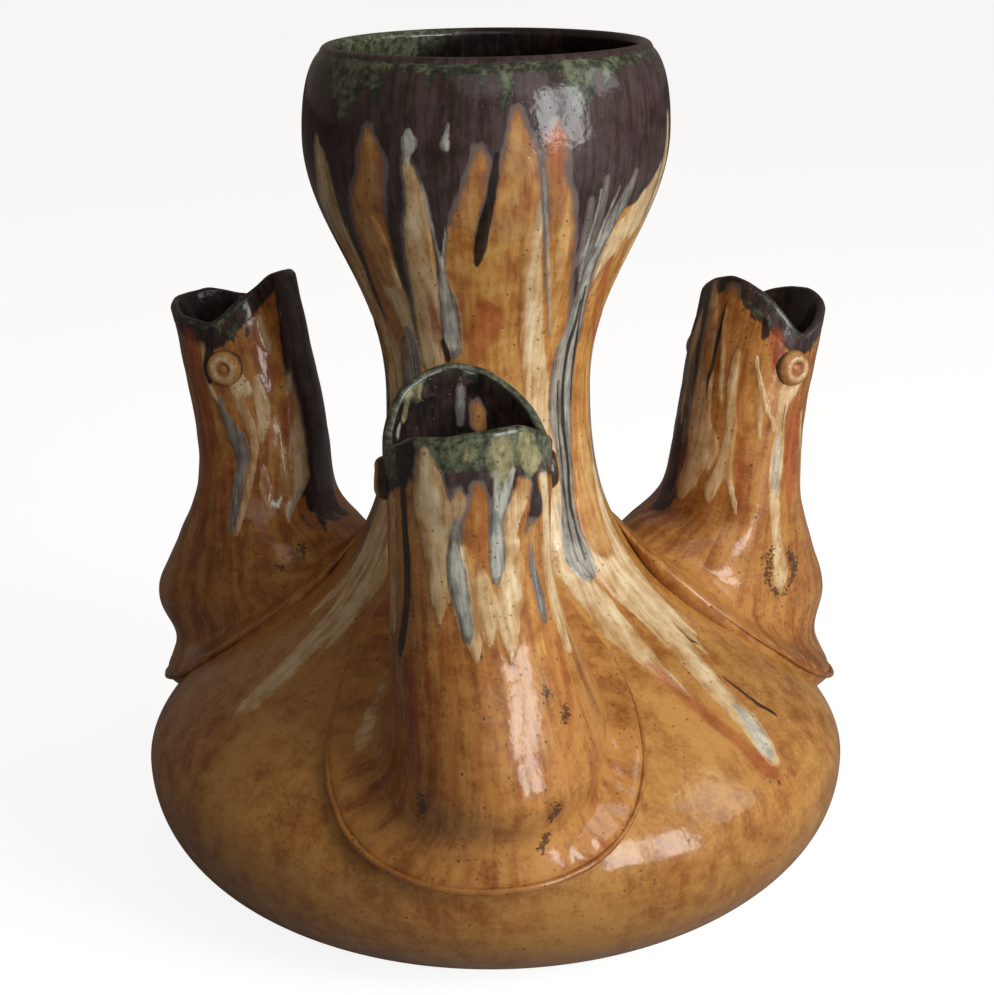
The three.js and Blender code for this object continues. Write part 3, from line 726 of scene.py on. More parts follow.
        ("cream", (709, 425, 3), (713, 440, 5), (713, 452, 4.5), (709, 464, 3), (706, 472, 1.5)),
        ("orange", (733, 292, 5), (733, 310, 7.5), (731, 328, 7), (728, 345, 4)),
        ("cream", (725, 310, 1.8), (723, 340, 2.2), (722, 370, 2.4), (720, 400, 2)),
        ("cream", (738, 352, 2.5), (735, 366, 4.5), (732, 382, 5), (731, 410, 5.2), (730, 430, 5.5),
         (727, 448, 6), (723, 465, 7), (716, 478, 6.5), (710, 488, 6.5), (708, 496, 5),
         (708, 500, 2.5)),
        ("cream", (725, 462, 5), (728, 480, 5), (732, 495, 4.4), (734, 507, 3.6), (735, 512, 2)),
        ("orange", (749, 385, 7), (749, 405, 8), (748, 420, 7), (746, 428, 3)),
        ("cream", (757, 358, 2), (758, 370, 2.6), (761, 388, 3), (764, 402, 4.5), (769, 414, 6.5),
         (776, 427, 6.5)),
        ("cream", (759, 400, 2.6), (759, 418, 2.8), (759, 436, 2)),
        ("rust", (778, 338, 8), (778, 348, 12), (777, 358, 9), (774, 366, 3)),
        ("plum", (779, 345, 5), (779, 355, 6), (776, 362, 3)),
        ("cream", (797, 384, 6), (790, 392, 6.5), (784, 402, 5.5), (781, 415, 5), (780, 430, 5.5),
         (778, 447, 6.5), (776, 465, 6.8), (774, 485, 5.6), (775, 510, 5.2), (776, 535, 4.6),
         (778, 552, 5), (780, 564, 6), (781, 575, 8), (780, 583, 6.5), (780, 588, 3)),
        ("pale", (778, 440, 2.5), (776, 465, 3), (775, 490, 2.5)),
        ("dark", (785, 405, 0.8), (783, 420, 0.9), (781, 432, 0.7)),
        ("rust", (794, 405, 3), (793, 430, 6), (792, 460, 6.5), (791, 485, 5), (790, 505, 2)),
        # This thin cream line on the lit right edge of the head is partly cream glaze and partly a painted
        # highlight.
        ("cream", (801, 412, 1.2), (800, 440, 1.6), (801, 465, 1.6), (803, 490, 1)),
        ("spots", (772, 548, 1.2), (770, 556, 2.6), (769, 566, 3.4), (768, 580, 2.6), (772, 590, 2.2)),
        ("spots", (788, 552, 2), (793, 560, 3.2), (794, 572, 3.6), (790, 583, 3), (784, 592, 2.6)),
        ("spots", (776, 592, 2.4), (778, 596, 2)),
        # These two widen that dark edge: plum glaze together with painted shade from the neck.
        ("plum", (706, 282, 6), (703, 305, 6), (699, 335, 6), (695, 365, 5), (691, 395, 4)),
        ("plum", (690, 400, 5), (686, 430, 6), (682, 460, 6), (676, 490, 5)),
        ("rust", (741, 440, 4), (742, 465, 5), (740, 490, 4), (739, 520, 3)),
    ),
    "front_inside": (
        ("olive", (408, 398, 5), (404, 410, 5)),
        ("olive", (420, 385, 5), (418, 395, 5)),
        ("pale", (414, 392, 3), (405, 405, 5), (400, 418, 5), (398, 428, 4)),
        ("pale", (470, 372, 6), (452, 375, 9), (430, 385, 8)),
        ("slate", (461, 389, 3), (461, 400, 3), (460, 412, 3), (460, 421, 3)),
        ("orange", (478, 406, 7), (479, 414, 8), (478, 422, 8)),
    ),
}

PICK_REACH = 14         # pixels: how far beside its piece a point may have been picked
NARROWEST_PIXEL = 0.26  # millimetres of clay in one pixel, where the clay faces the camera
WIDEST_PIXEL = 0.6      # and where it turns away from the camera
LEAST_DROP = 0.3        # millimetres from one point of a run down to the next
PIXEL_STEPS = range(-PICK_REACH, PICK_REACH + 1)
NEAREST_FIRST = sorted(((x, y) for x in PIXEL_STEPS for y in PIXEL_STEPS), key=lambda step: math.hypot(*step))


def aimed_at(across, down):
    """The way from the camera through a pixel of the photograph."""
    return (forward * FOCAL_PIXELS + picture_right * (across - PHOTO_WIDTH / 2)
            - picture_up * (down - PHOTO_HEIGHT / 2)).normalized()


def clay_in_view(pieces):
    """All faces that the camera may see, as a tree to aim at, with the corners, what each corner's clay
    measures, the faces and the piece of each face."""
    corners, measures, faces, owners = [], [], [], []
    count = 0
    for name, clay in pieces.items():
        corners.append(clay.rings.reshape(-1, 3))
        measures.append(np.stack([clay.run, clay.degrees, clay.per_degree], -1).reshape(-1, 3))
        faces.append(band_faces(*clay.rings.shape[:2], False) + count)
        owners += [name] * len(faces[-1])
        count += len(corners[-1])
    corners, measures, faces = (np.concatenate(part) for part in (corners, measures, faces))
    return BVHTree.FromPolygons(corners.tolist(), faces.tolist()), corners, measures, faces, owners


def place_seen(view, piece, across, down):
    """Where a pixel of the photograph, or the nearest one that shows the piece, lies on the piece."""
    tree, corners, measures, faces, owners = view
    for aside, below in NEAREST_FIRST:
        way = aimed_at(across + aside, down + below)
        spot, outward, face, _ = tree.ray_cast(CAMERA_PLACE, way)
        if face is not None and owners[face] == piece and outward.dot(way) < 0:
            shares = poly_3d_calc([Vector(corner) for corner in corners[faces[face]]], spot)
            run, degrees, per_degree = measures[faces[face]].T
            degrees = degrees[0] + half_turned(degrees - degrees[0])
            return np.dot(shares, run), np.dot(shares, degrees), np.dot(shares, per_degree)
    raise ValueError(f"no {piece} near pixel {across}, {down}")


def run_on_clay(view, piece, points):
    """A picked run as (millimetres down, degrees round, half width in millimetres). Glaze runs only
    down, so a point that isn't lower than the last one is left out."""
    placed = []
    for across, down, half in points:
        run, degrees, per_degree = place_seen(view, piece, across, down)
        beside = (place_seen(view, piece, across + step, down)[1] for step in (-2, 2))
        degrees_per_pixel = max(abs(half_turned(other - degrees)) / 2 for other in beside)
        mm_per_pixel = np.clip(degrees_per_pixel * per_degree, NARROWEST_PIXEL, WIDEST_PIXEL)
        if len(points) == 1:
            mm_per_pixel = NARROWEST_PIXEL
        if not placed or run > placed[-1][0] + LEAST_DROP:
            placed.append((run, degrees, half * mm_per_pixel))
    return placed


# Glaze fields: for each glaze, the millimetres that a corner lies inside the edge of a run

LAYERS = ("plum", "green", "olive", "cream", "orange", "rust", "slate", "pale", "dark", "spots")
BARE = -12.0        # no run is near
COVERED = 6.0       # well inside a coat
DEEPEST = 12.0


def run_field(nodes, clay):
    """Millimetres inside the edge of one run of glaze, or outside it where negative."""
    along, centre, half = (np.array(column, float) for column in zip(*nodes))
    centre = np.unwrap(centre, period=360)
    place = np.clip(clay.run, along[0], along[-1])
    if len(nodes) == 1:
        middle, width = centre[0], half[0]
    else:
        i = np.clip(np.searchsorted(along, place) - 1, 0, len(along) - 2)
        gap = along[i + 1] - along[i]
        t = (place - along[i]) / gap
        slope = np.gradient(centre, along)
        middle = ((2 * t ** 3 - 3 * t ** 2 + 1) * centre[i] + (t ** 3 - 2 * t ** 2 + t) * gap * slope[i]
                  + (3 * t ** 2 - 2 * t ** 3) * centre[i + 1] + (t ** 3 - t ** 2) * gap * slope[i + 1])
        width = half[i] + (half[i + 1] - half[i]) * t * t * (3 - 2 * t)
    aside = half_turned(clay.degrees - middle) * clay.per_degree
    past = clay.run - place
    return np.maximum(width - np.hypot(aside, past), BARE)


def bare_fields(shape):
    """The fields of clay with no run of glaze near it."""
    return {layer: np.full(shape, BARE) for layer in LAYERS}


def glaze_fields(runs, clay):
    """The fields of all runs on a face of the clay."""
    fields = bare_fields(clay.run.shape)
    for layer, nodes in runs:
        near = (clay.run.max(1) > nodes[0][0] + BARE) & (clay.run.min(1) < nodes[-1][0] - BARE)
        rows = np.nonzero(near)[0]
        if len(rows):
            part = slice(rows[0], rows[-1] + 1)
            inside = run_field(nodes, Clay(*(values[part] for values in clay)))
            fields[layer][part] = np.maximum(fields[layer][part], inside)
    return fields


def lay_more(fields, layer, inside):
    """Adds a coat to a glaze, from the millimetres inside the coat's edge."""
    fields[layer] = np.maximum(fields[layer], np.clip(inside, BARE, DEEPEST))


def wandering_run(dice, angle, start, end, half, sway=1.5):
    """A run of glaze that nobody laid on purpose: it swells, thins and ends in a drop."""
    stations = np.linspace(start, end, 6)
    centre = angle + np.cumsum(dice.normal(0, sway, 6))
    widths = half * np.array([0.35, 1, 0.85, 0.7, 0.75, 0.3]) * dice.uniform(0.75, 1.25, 6)
    return tuple(zip(stations, centre, widths))


def unseen_form_runs():
    """Runs on the far side of the cup, neck and shoulder, of the kinds that the near side has."""
    dice = np.random.default_rng(11)
    runs = []
    angle = 76.0
    while angle < 284:
        top = dice.uniform(17, 27)
        runs.append(("cream" if dice.random() < 0.55 else "orange",
                     wandering_run(dice, angle, top, dice.uniform(95, 125), dice.uniform(3, 5.5), 0.8)))
        if dice.random() < 0.5:
            runs.append(("rust", wandering_run(dice, angle, top, top + dice.uniform(10, 25), 1.8, 0.5)))
        between = angle + dice.uniform(6, 8)
        runs.append(("plum", wandering_run(dice, between, 15, dice.uniform(45, 80), dice.uniform(3, 5), 0.5)))
        if dice.random() < 0.55:
            start = dice.uniform(60, 80)
            runs.append(("slate", wandering_run(dice, between, start, dice.uniform(120, 152),
                                                dice.uniform(2.5, 4), 1)))
            runs.append(("dark", wandering_run(dice, between + 1, start, dice.uniform(115, 140), 0.6, 1)))
            runs.append(("pale", wandering_run(dice, between - 3, start, dice.uniform(115, 140), 0.8, 1)))
        angle += dice.uniform(12, 17)
    for angle, end in ((172, 205), (187, 222), (66, 178), (-75, 170), (-66, 180)):
        runs.append(("cream", wandering_run(dice, angle, 112, end, dice.uniform(4, 7), 1.6)))
    return runs


def unseen_spout_runs(seed, start, end):
    """Runs on the side of a spout that the photograph doesn't show, from one angle to another."""
    dice = np.random.default_rng(seed)
    runs = []
    angle = start
    while angle < end:
        long = dice.uniform(26, 58)
        kind = dice.choice(["cream", "cream", "plum", "orange"])
        runs.append((kind, wandering_run(dice, angle, dice.uniform(4, 12), long, dice.uniform(1.8, 4.2))))
        if dice.random() < 0.5:
            runs.append(("slate", wandering_run(dice, angle + 4, dice.uniform(16, 28), long + 6,
                                                dice.uniform(0.9, 2))))
        if dice.random() < 0.35:
            runs.append(("dark", wandering_run(dice, angle + 9, 6, dice.uniform(30, 55), 0.8)))
        if dice.random() < 0.4:
            runs.append(("rust", wandering_run(dice, angle + 6, dice.uniform(30, 50),
                                               dice.uniform(65, 95), 1.2)))
        angle += dice.uniform(14, 22)
    return runs


def with_flow(fields, angle, run, girth, lift=0.0):
    """Adds the glaze's own coordinates: round the piece, and down it, in millimetres."""
    turn = np.radians(angle)
    fields["flow"] = np.stack([girth * np.sin(turn), girth * np.cos(turn), run + lift + 0 * turn], -1)
    return fields


def raised(rings, fields):
    """Rings with the thick glaze standing proud of the clay."""
    heights = (("cream", 0.24), ("slate", 0.26), ("pale", 0.3), ("plum", 0.14))
    thick = np.maximum.reduce([height * np.clip(fields[layer] / 1.3 + 0.35, 0, 1)
                               for layer, height in heights])
    return rings + ring_normals(rings) * thick[..., None]


def stacked(*parts):
    """The fields of parts that lie one after another."""
    return {name: np.concatenate([part[name] for part in parts]) for name in parts[0]}


# Finishes

def srgb(hex_colour):
    """An sRGB hex colour as the linear colour that the shaders take."""
    values = [int(hex_colour[i:i + 2], 16) / 255 for i in (1, 3, 5)]
    return tuple(v / 12.92 if v <= 0.04045 else ((v + 0.055) / 1.055) ** 2.4 for v in values) + (1.0,)


def add_node(tree, kind, inputs=None, **settings):
    """Adds one node with its settings. An input is a value, a node to link its first output from,
    or a pair of a node and the name or number of its output."""
    made = tree.nodes.new(kind)
    for name, value in settings.items():
        setattr(made, name, value)
    for name, value in (inputs or {}).items():
        if isinstance(value, bpy.types.Node):
            tree.links.new(value.outputs[0], made.inputs[name])
        elif isinstance(value, tuple) and isinstance(value[0], bpy.types.Node):
            tree.links.new(value[0].outputs[value[1]], made.inputs[name])
        else:
            made.inputs[name].default_value = value
    return made


def set_ramp(ramp, positions, colours):
    """Places the hex colours of a ramp, from first to last."""
    elements = ramp.color_ramp.elements
    for _ in positions[2:]:
        elements.new(0.5)
    for element, position, colour in zip(elements, positions, colours):
        element.position = position
        element.color = srgb(colour)


# A mix of colours takes the lower and the upper colour at these inputs, and gives them at this output
UNDER, OVER, MIXED = 6, 7, 2

# Each glaze over the ground: its colours from thin to thick, how soft its edge is and how far the edge
# wanders (mm), the size of the wandering and of its streaks across and down the run (mm), and how
# much it covers
GLAZES = {
    "plum": (("#151012", "#231C1F", "#40343A"), 0.7, 1.4, (1.6, 11.0), (1.6, 16.0), 0.96),
    "green": (("#1E2119", "#3A4031", "#6E745A"), 0.15, 3.4, (2.2, 3.6), (1.8, 2.2), 0.93),
    "olive": (("#5F6044", "#908A62", "#B5AC82"), 0.6, 2.0, (2.0, 3.4), (1.6, 3.0), 0.85),
    "cream": (("#AC8351", "#CDAE7F", "#EAD7AF"), 0.4, 1.1, (2.0, 6.0), (2.2, 15.0), 0.95),
    "orange": (("#96592A", "#B3783A", "#CC9E5A"), 1.0, 1.7, (2.2, 9.0), (2.2, 12.0), 0.88),
    "rust": (("#82381A", "#9C4A25", "#B1613A"), 1.3, 1.6, (2.0, 7.0), (2.0, 9.0), 0.65),
    "slate": (("#545250", "#7B7B76", "#A5A89D"), 0.4, 0.9, (1.2, 8.0), (0.8, 14.0), 0.88),
    "pale": (("#8B8B84", "#AEB0A4", "#D6D3C0"), 0.4, 0.7, (0.9, 4.0), (0.9, 6.0), 0.8),
    # The dark glaze is near-black, so that inside the spouts and the cup it also paints their shade.
    "dark": (("#0E0A09", "#1A1312", "#352822"), 0.35, 0.6, (0.9, 6.0), (1.2, 6.0), 0.94),
    "spots": (("#170F0B", "#2C1C13", "#4B3120"), 0.6, 4.5, (0.8, 0.8), (1.1, 1.1), 0.8),
}

# How much relief a glaze gives, in millimetres
RELIEF = {"cream": 0.14, "slate": 0.16, "pale": 0.12, "plum": 0.05, "dark": 0.05}
SLIGHT_RELIEF = 0.02

RED_STREAK, BROWN_BLOTCH, DARKER_FOOT = "#94471D", "#5B361B", "#70421B"
LILAC_LINE, IRON_SPECK = "#84776F", "#3A2417"
FOOT_SHADE_TOP = 0.055      # metres over the floor
SPECK_SPACING = 1.9         # millimetres

# A coat of glaze in the making: its node tree, the glaze's own coordinates and the place on the vase
Coat = namedtuple("Coat", "tree flow place")


def streaks(coat, across, down, detail=3.0, rough=0.55):
    """The streaks that running glaze leaves, this many millimetres across and down the run."""
    scaled = add_node(coat.tree, "ShaderNodeVectorMath",
                      {0: (coat.flow, "Vector"), 1: (1 / across, 1 / across, 1 / down)}, operation="MULTIPLY")
    return add_node(coat.tree, "ShaderNodeTexNoise",
                    {"Vector": scaled, "Scale": 1.0, "Detail": detail, "Roughness": rough})


def mottling(coat, size, detail=3.0, rough=0.55, flatten=1.0):
    """Cloudy spots of this many millimetres, flattened where they follow the potter's turning."""
    scaled = add_node(coat.tree, "ShaderNodeVectorMath",
                      {0: (coat.place, "Object"), 1: (1.0, 1.0, flatten)}, operation="MULTIPLY")
    return add_node(coat.tree, "ShaderNodeTexNoise",
                    {"Vector": scaled, "Scale": 1 / (size * MM), "Detail": detail, "Roughness": rough})


def blended(coat, total, patterns):
    """A total with patterns added to it, each by its own share."""
    for pattern, share in patterns:
        total = add_node(coat.tree, "ShaderNodeMath", {0: pattern, 1: share, 2: total},
                         operation="MULTIPLY_ADD")
    return total


def ground_colour(coat, grounds, streak, blotch, fine_clouds, grain, run_streaks):
    """The ground: broad clouds, finer mottling and streaks down the run, stained red and brown, and darker
    toward the foot.
    """
    share = blended(coat, -0.175 - 0.5 * streak, (
        (mottling(coat, 34), 0.55), (fine_clouds, 0.6), (mottling(coat, 16, 3.0, 0.5, 5.0), 0.16),
        (grain, 0.35), (run_streaks, streak)))
    ramp = add_node(coat.tree, "ShaderNodeValToRGB", {0: share})
    set_ramp(ramp, (0.3, 0.52, 0.75), grounds)
    height = add_node(coat.tree, "ShaderNodeSeparateXYZ", {0: (coat.place, "Object")})
    colour = (ramp, 0)
    for stain, pattern, start, end, least, most in (
            (RED_STREAK, streaks(coat, 3.2, 34, 2.0), 0.55, 0.78, 0.0, 0.75 * streak),
            (BROWN_BLOTCH, mottling(coat, 3.4, 5.0, 0.75), 0.56, 0.72, 0.0, blotch),
            (DARKER_FOOT, (height, "Z"), 0.0, FOOT_SHADE_TOP, 0.6, 0.0)):
        share = add_node(coat.tree, "ShaderNodeMapRange", {
            "Value": pattern, "From Min": start, "From Max": end, "To Min": least, "To Max": most})
        colour = (add_node(coat.tree, "ShaderNodeMix", {0: share, UNDER: colour, OVER: srgb(stain)},
                           data_type="RGBA"), MIXED)
    return colour


def glaze_tone(coat, field, shades, streak_size, fine_clouds):
    """A glaze's own colour, lighter where it lies thick."""
    depth = add_node(coat.tree, "ShaderNodeMapRange", {
        "Value": (field, "Fac"), "From Min": -0.5, "From Max": 3.0, "To Min": -0.06, "To Max": 0.06})
    share = blended(coat, depth, ((streaks(coat, *streak_size, 4.0, 0.6), 0.7), (fine_clouds, 0.5)))
    tone = add_node(coat.tree, "ShaderNodeValToRGB", {0: share})
    set_ramp(tone, (0.48, 0.6, 0.76), shades)
    return tone


def running_glazes(coat, colour, fine_clouds):
    """The running glazes, one over the other, and the height that they add in millimetres."""
    height = 0.0
    for layer, (shades, soft, wander, edge_size, streak_size, cover) in GLAZES.items():
        field = add_node(coat.tree, "ShaderNodeAttribute", attribute_name=layer)
        ragged = streaks(coat, *edge_size, 5.0, 0.6)
        edge = add_node(coat.tree, "ShaderNodeMath", {0: ragged, 1: 2 * wander, 2: (field, "Fac")},
                        operation="MULTIPLY_ADD")
        mask = add_node(coat.tree, "ShaderNodeMapRange", {
            "Value": edge, "From Min": wander - soft, "From Max": wander + soft, "To Max": cover},
            interpolation_type="SMOOTHSTEP")
        tone = glaze_tone(coat, field, shades, streak_size, fine_clouds)
        if layer == "plum":
            plum = mask
        if layer in ("cream", "orange", "slate"):
            # A thin lilac-grey line where a lighter glaze lies beside the plum
            beside = add_node(coat.tree, "ShaderNodeMapRange", {
                "Value": edge, "From Min": wander - soft - 1.0, "From Max": wander - soft, "To Max": 0.55},
                interpolation_type="SMOOTHSTEP")
            line = add_node(coat.tree, "ShaderNodeMath", {0: beside, 1: plum}, operation="MULTIPLY")
            colour = (add_node(coat.tree, "ShaderNodeMix", {0: line, UNDER: colour, OVER: srgb(LILAC_LINE)},
                               data_type="RGBA"), MIXED)
        if layer in ("cream", "orange"):
            # Here and there the glaze is thin and the ground shows through
            thin = add_node(coat.tree, "ShaderNodeMapRange", {
                "Value": mottling(coat, 9, 4.0), "From Min": 0.38, "From Max": 0.58, "To Min": 0.8,
                "To Max": 1.0})
            mask = add_node(coat.tree, "ShaderNodeMath", {0: mask, 1: thin}, operation="MULTIPLY")
        colour = (add_node(coat.tree, "ShaderNodeMix", {0: mask, UNDER: colour, OVER: tone},
                           data_type="RGBA"), MIXED)
        height = blended(coat, height, [(mask, RELIEF.get(layer, SLIGHT_RELIEF))])
    return colour, height


def iron_specks(coat, specks, grain):
    """Burst bubbles and iron specks, up to a millimetre across, in loose groups."""
    cells = add_node(coat.tree, "ShaderNodeTexVoronoi",
                     {"Vector": (coat.place, "Object"), "Scale": 1 / (SPECK_SPACING * MM)})
    dice = add_node(coat.tree, "ShaderNodeSeparateColor", {0: (cells, "Color")})
    size = blended(coat, (cells, "Distance"), (((dice, 1), -0.16), (grain, 0.3)))
    dot = add_node(coat.tree, "ShaderNodeMapRange", {
        "Value": size, "From Min": 0.17, "From Max": 0.25, "To Min": 1.0, "To Max": 0.0})
    group = blended(coat, (dice, 0), [(mottling(coat, 12, 2.0), 3.0)])
    chosen = add_node(coat.tree, "ShaderNodeMath", {0: group, 1: 2.5 - specks}, operation="GREATER_THAN")
    return add_node(coat.tree, "ShaderNodeMath", {0: dot, 1: chosen}, operation="MULTIPLY")


def stoneware_glaze(name, grounds, streak=0.3, specks=0.35, roughness=0.58, blotch=0.4):
    """Glazed stoneware: a satin, slightly pitted coat of running glazes over an amber ground. It gives
    the eye soft window-shaped highlights that pits break up, and colours that bleed into one another."""
    material = bpy.data.materials.new(name)
    material.use_nodes = True
    tree = material.node_tree
    tree.nodes.clear()
    flow = add_node(tree, "ShaderNodeAttribute", attribute_name="flow")
    coat = Coat(tree, flow, add_node(tree, "ShaderNodeTexCoord"))
    fine_clouds = mottling(coat, 6, 5.0, 0.65)
    grain = mottling(coat, 1.2, 4.0, 0.7)
    run_streaks = streaks(coat, 2.2, 26, 4.0)
    ground = ground_colour(coat, grounds, streak, blotch, fine_clouds, grain, run_streaks)
    glazed, thickness = running_glazes(coat, ground, fine_clouds)
    speck = iron_specks(coat, specks, grain)
    speck_cover = add_node(tree, "ShaderNodeMath", {0: speck, 1: 0.6}, operation="MULTIPLY")
    colour = add_node(tree, "ShaderNodeMix", {0: speck_cover, UNDER: glazed, OVER: srgb(IRON_SPECK)},
                      data_type="RGBA")
    # Relief in millimetres: thick glaze, soft lumps, orange peel, streaks and pits
    height = blended(coat, thickness, (
        (mottling(coat, 5, 2.0), 0.2), (mottling(coat, 1.6, 3.0), 0.06), (run_streaks, 0.04 * streak),
        (speck, -0.07)))
    relief = add_node(tree, "ShaderNodeBump", {"Strength": 0.8, "Distance": MM, "Height": height})
    rough = blended(coat, roughness - 0.08, [(fine_clouds, 0.16)])
    shader = add_node(tree, "ShaderNodeBsdfPrincipled", {
        "Base Color": (colour, MIXED), "Roughness": rough, "IOR": 1.5, "Specular IOR Level": 0.15,
        "Normal": relief, "Coat Weight": 0.7, "Coat Roughness": 0.14, "Coat IOR": 1.5,
        "Coat Normal": relief})
    add_node(tree, "ShaderNodeOutputMaterial", {"Surface": shader})
    return material


THROWN_GROUND = ("#6B4119", "#975F2A", "#C08D4A")
body_glaze = stoneware_glaze("amber_stoneware", THROWN_GROUND, 0.22, 0.2)
neck_glaze = stoneware_glaze("streaked_stoneware", THROWN_GROUND, 0.22)
cup_glaze = stoneware_glaze("plum_stoneware", THROWN_GROUND, 0.22)
spout_glaze = stoneware_glaze("red_amber_stoneware", ("#5C3213", "#8F5625", "#BA8344"), 0.7, 0.45, 0.5)
coil_glaze = stoneware_glaze("coil_stoneware", ("#4E2A12", "#80491F", "#A97338"), 0.3)
eye_glaze = stoneware_glaze("eye_stoneware", ("#6A3A18", "#A06832", "#C99B60"), 0.2)


# The thrown form and the spouts, and the picked runs placed on them

def in_place(clay, turn):
    """Clay turned to its side of the vase, with the unevenness of handwork."""
    return clay._replace(rings=handmade(about(clay.rings, turn)))


falling = outline[::-1]
run_down = np.concatenate([[0], np.cumsum(np.linalg.norm(np.diff(falling, axis=0), axis=1))])
form_clay = Clay(handmade(turned(falling, TURNS)),
                 run_down[:, None] + np.zeros(TURNS),
                 np.arange(TURNS) * 360 / TURNS + np.zeros((len(falling), 1)),
                 falling[:, :1] * math.radians(1) + np.zeros(TURNS))
spouts = {side: shaped_spout(head, 40 + head.turn) for side, head in SPOUTS.items()}

clay_seen = {"form": form_clay}
for side, (outside, inside, lip) in spouts.items():
    clay_seen[side] = in_place(outside, SPOUTS[side].turn)
    if side == "front":
        # Its rings run the other way, so that it faces inward
        clay_seen["front_inside"] = Clay(*(values[::-1] for values in in_place(inside, 0)))
view = clay_in_view(clay_seen)
placed_runs = {piece: [(glaze, run_on_clay(view, piece, points)) for glaze, *points in runs]
               for piece, runs in PICKED.items()}

# The inner side of the left head, just past the edge that the photograph shows, is plum too
placed_runs["left"].append(
    ("plum", ((0.5, -158, 7), (14, -160, 8), (30, -162, 8), (48, -163, 8), (62, -165, 7), (76, -167, 3))))

# Degrees round each spout between which the photograph doesn't show it
HIDDEN = {"front": (100, 262), "right": (32, 205), "left": (214, 330)}

PLUM_LINE = 43.0        # how far down the cup the plum reaches
FORM_GIRTH = 42.0       # the flow's radius round the thrown form
PLAIN_ROW = 1.5         # how much of the flow lies between two rings that no run reaches


def form_glaze():
    """On the thrown form: the runs, plum over the cup with a wavy edge, and green on its rim."""
    fields = glaze_fields(placed_runs["form"] + unseen_form_runs(), form_clay)
    turn = np.radians(form_clay.degrees)
    lay_more(fields, "plum",
             PLUM_LINE + 3.0 * np.sin(turn * 5 + 1.3) + 2.0 * np.sin(turn * 11) - form_clay.run)
    lay_more(fields, "green", 1.6 - 0.7 * form_clay.run)
    return with_flow(fields, form_clay.degrees, form_clay.run, FORM_GIRTH)


form_fields = form_glaze()
form = raised(form_clay.rings, form_fields)
form_normals = ring_normals(form)
waist_row = len(cup_line) - 1
collar_row = waist_row + len(neck_line) - 1
BACKWARD = slice(None, None, -1)


# The thrown pieces

def rows_of(fields, rows):
    """The fields of these rings."""
    return {name: values[rows] for name, values in fields.items()}


def plain_glaze(rings, base=None):
    """Fields for faces that no run reaches: one glaze all over, or the bare ground."""
    count, turns = rings.shape[:2]
    fields = bare_fields((count, turns))
    if base:
        fields[base][:] = COVERED
    degrees = np.arange(turns) * 360 / turns + np.zeros((count, 1))
    down = np.arange(count)[:, None] * PLAIN_ROW
    return with_flow(fields, degrees, -down, FORM_GIRTH, -5.0)


def make_thrown(name, node, slot, material, rows, before=(), after=(), **settings):
    """A thrown piece: these rows of the whole form, with the rings and fields that come before and after
    them. Where it meets its neighbour both keep the normals of the whole form."""
    parts = [*before, (form[rows], rows_of(form_fields, rows)), *after]
    rings = np.concatenate([part for part, _ in parts])
    fields = stacked(*(part_fields for _, part_fields in parts))
    normals = ring_normals(rings)
    start = sum(len(part) for part, _ in before)
    normals[start:start + len(form[rows])] = form_normals[rows]
    make_piece(name, rings, node, slot, material, fields, normals=normals, **settings)


def clear_of_bores(middles):
    """Which faces, from their middles, lie clear of the holes under the spouts."""
    clear = np.ones(len(middles), bool)
    lean = np.array([0, -math.sin(SPOUT_LEAN), math.cos(SPOUT_LEAN)])
    for head in SPOUTS.values():
        local = about(middles, -head.turn) - axis_at(np.array(COLLAR_RISE))
        beside = local - (local @ lean)[:, None] * lean
        clear &= (np.linalg.norm(beside, axis=1) > BORE_RADIUS) | (middles[:, 2] < BODY_LINE)
    return clear


def make_body():
    """The low bulb: its inside, its outside below the collar, and its flat foot."""
    floor_line = np.array([(1.0, FLOOR_THICKNESS), (FOOT_RADIUS - WALL, FLOOR_THICKNESS)])
    wall_line = spaced(offset(body_line, WALL), HIDDEN_ROW)
    wall_line = wall_line[wall_line[:, 1] > FLOOR_THICKNESS + 1]
    inside = handmade(turned(np.vstack([spaced(floor_line, HIDDEN_ROW), wall_line]), TURNS))
    foot_line = np.array([(FOOT_RADIUS - FOOT_BEVEL, 0.0), (1.0, 0.0)])
    foot = turned(spaced(foot_line, HIDDEN_ROW), TURNS)
    make_thrown("vase_body", "body_bulb", "amber_glaze", body_glaze, slice(collar_row, None),
                before=[(inside, plain_glaze(inside, "plum"))], after=[(foot, plain_glaze(foot))],
                closed=False, keep=clear_of_bores)


def make_neck():
    """The tube from the shoulder to the waist."""
    inside = handmade(turned(spaced(offset(neck_line, WALL), HIDDEN_ROW), TURNS))
    make_thrown("vase_neck", "neck", "streaked_glaze", neck_glaze, slice(waist_row, collar_row + 1),
                after=[(inside, plain_glaze(inside, "plum"))])


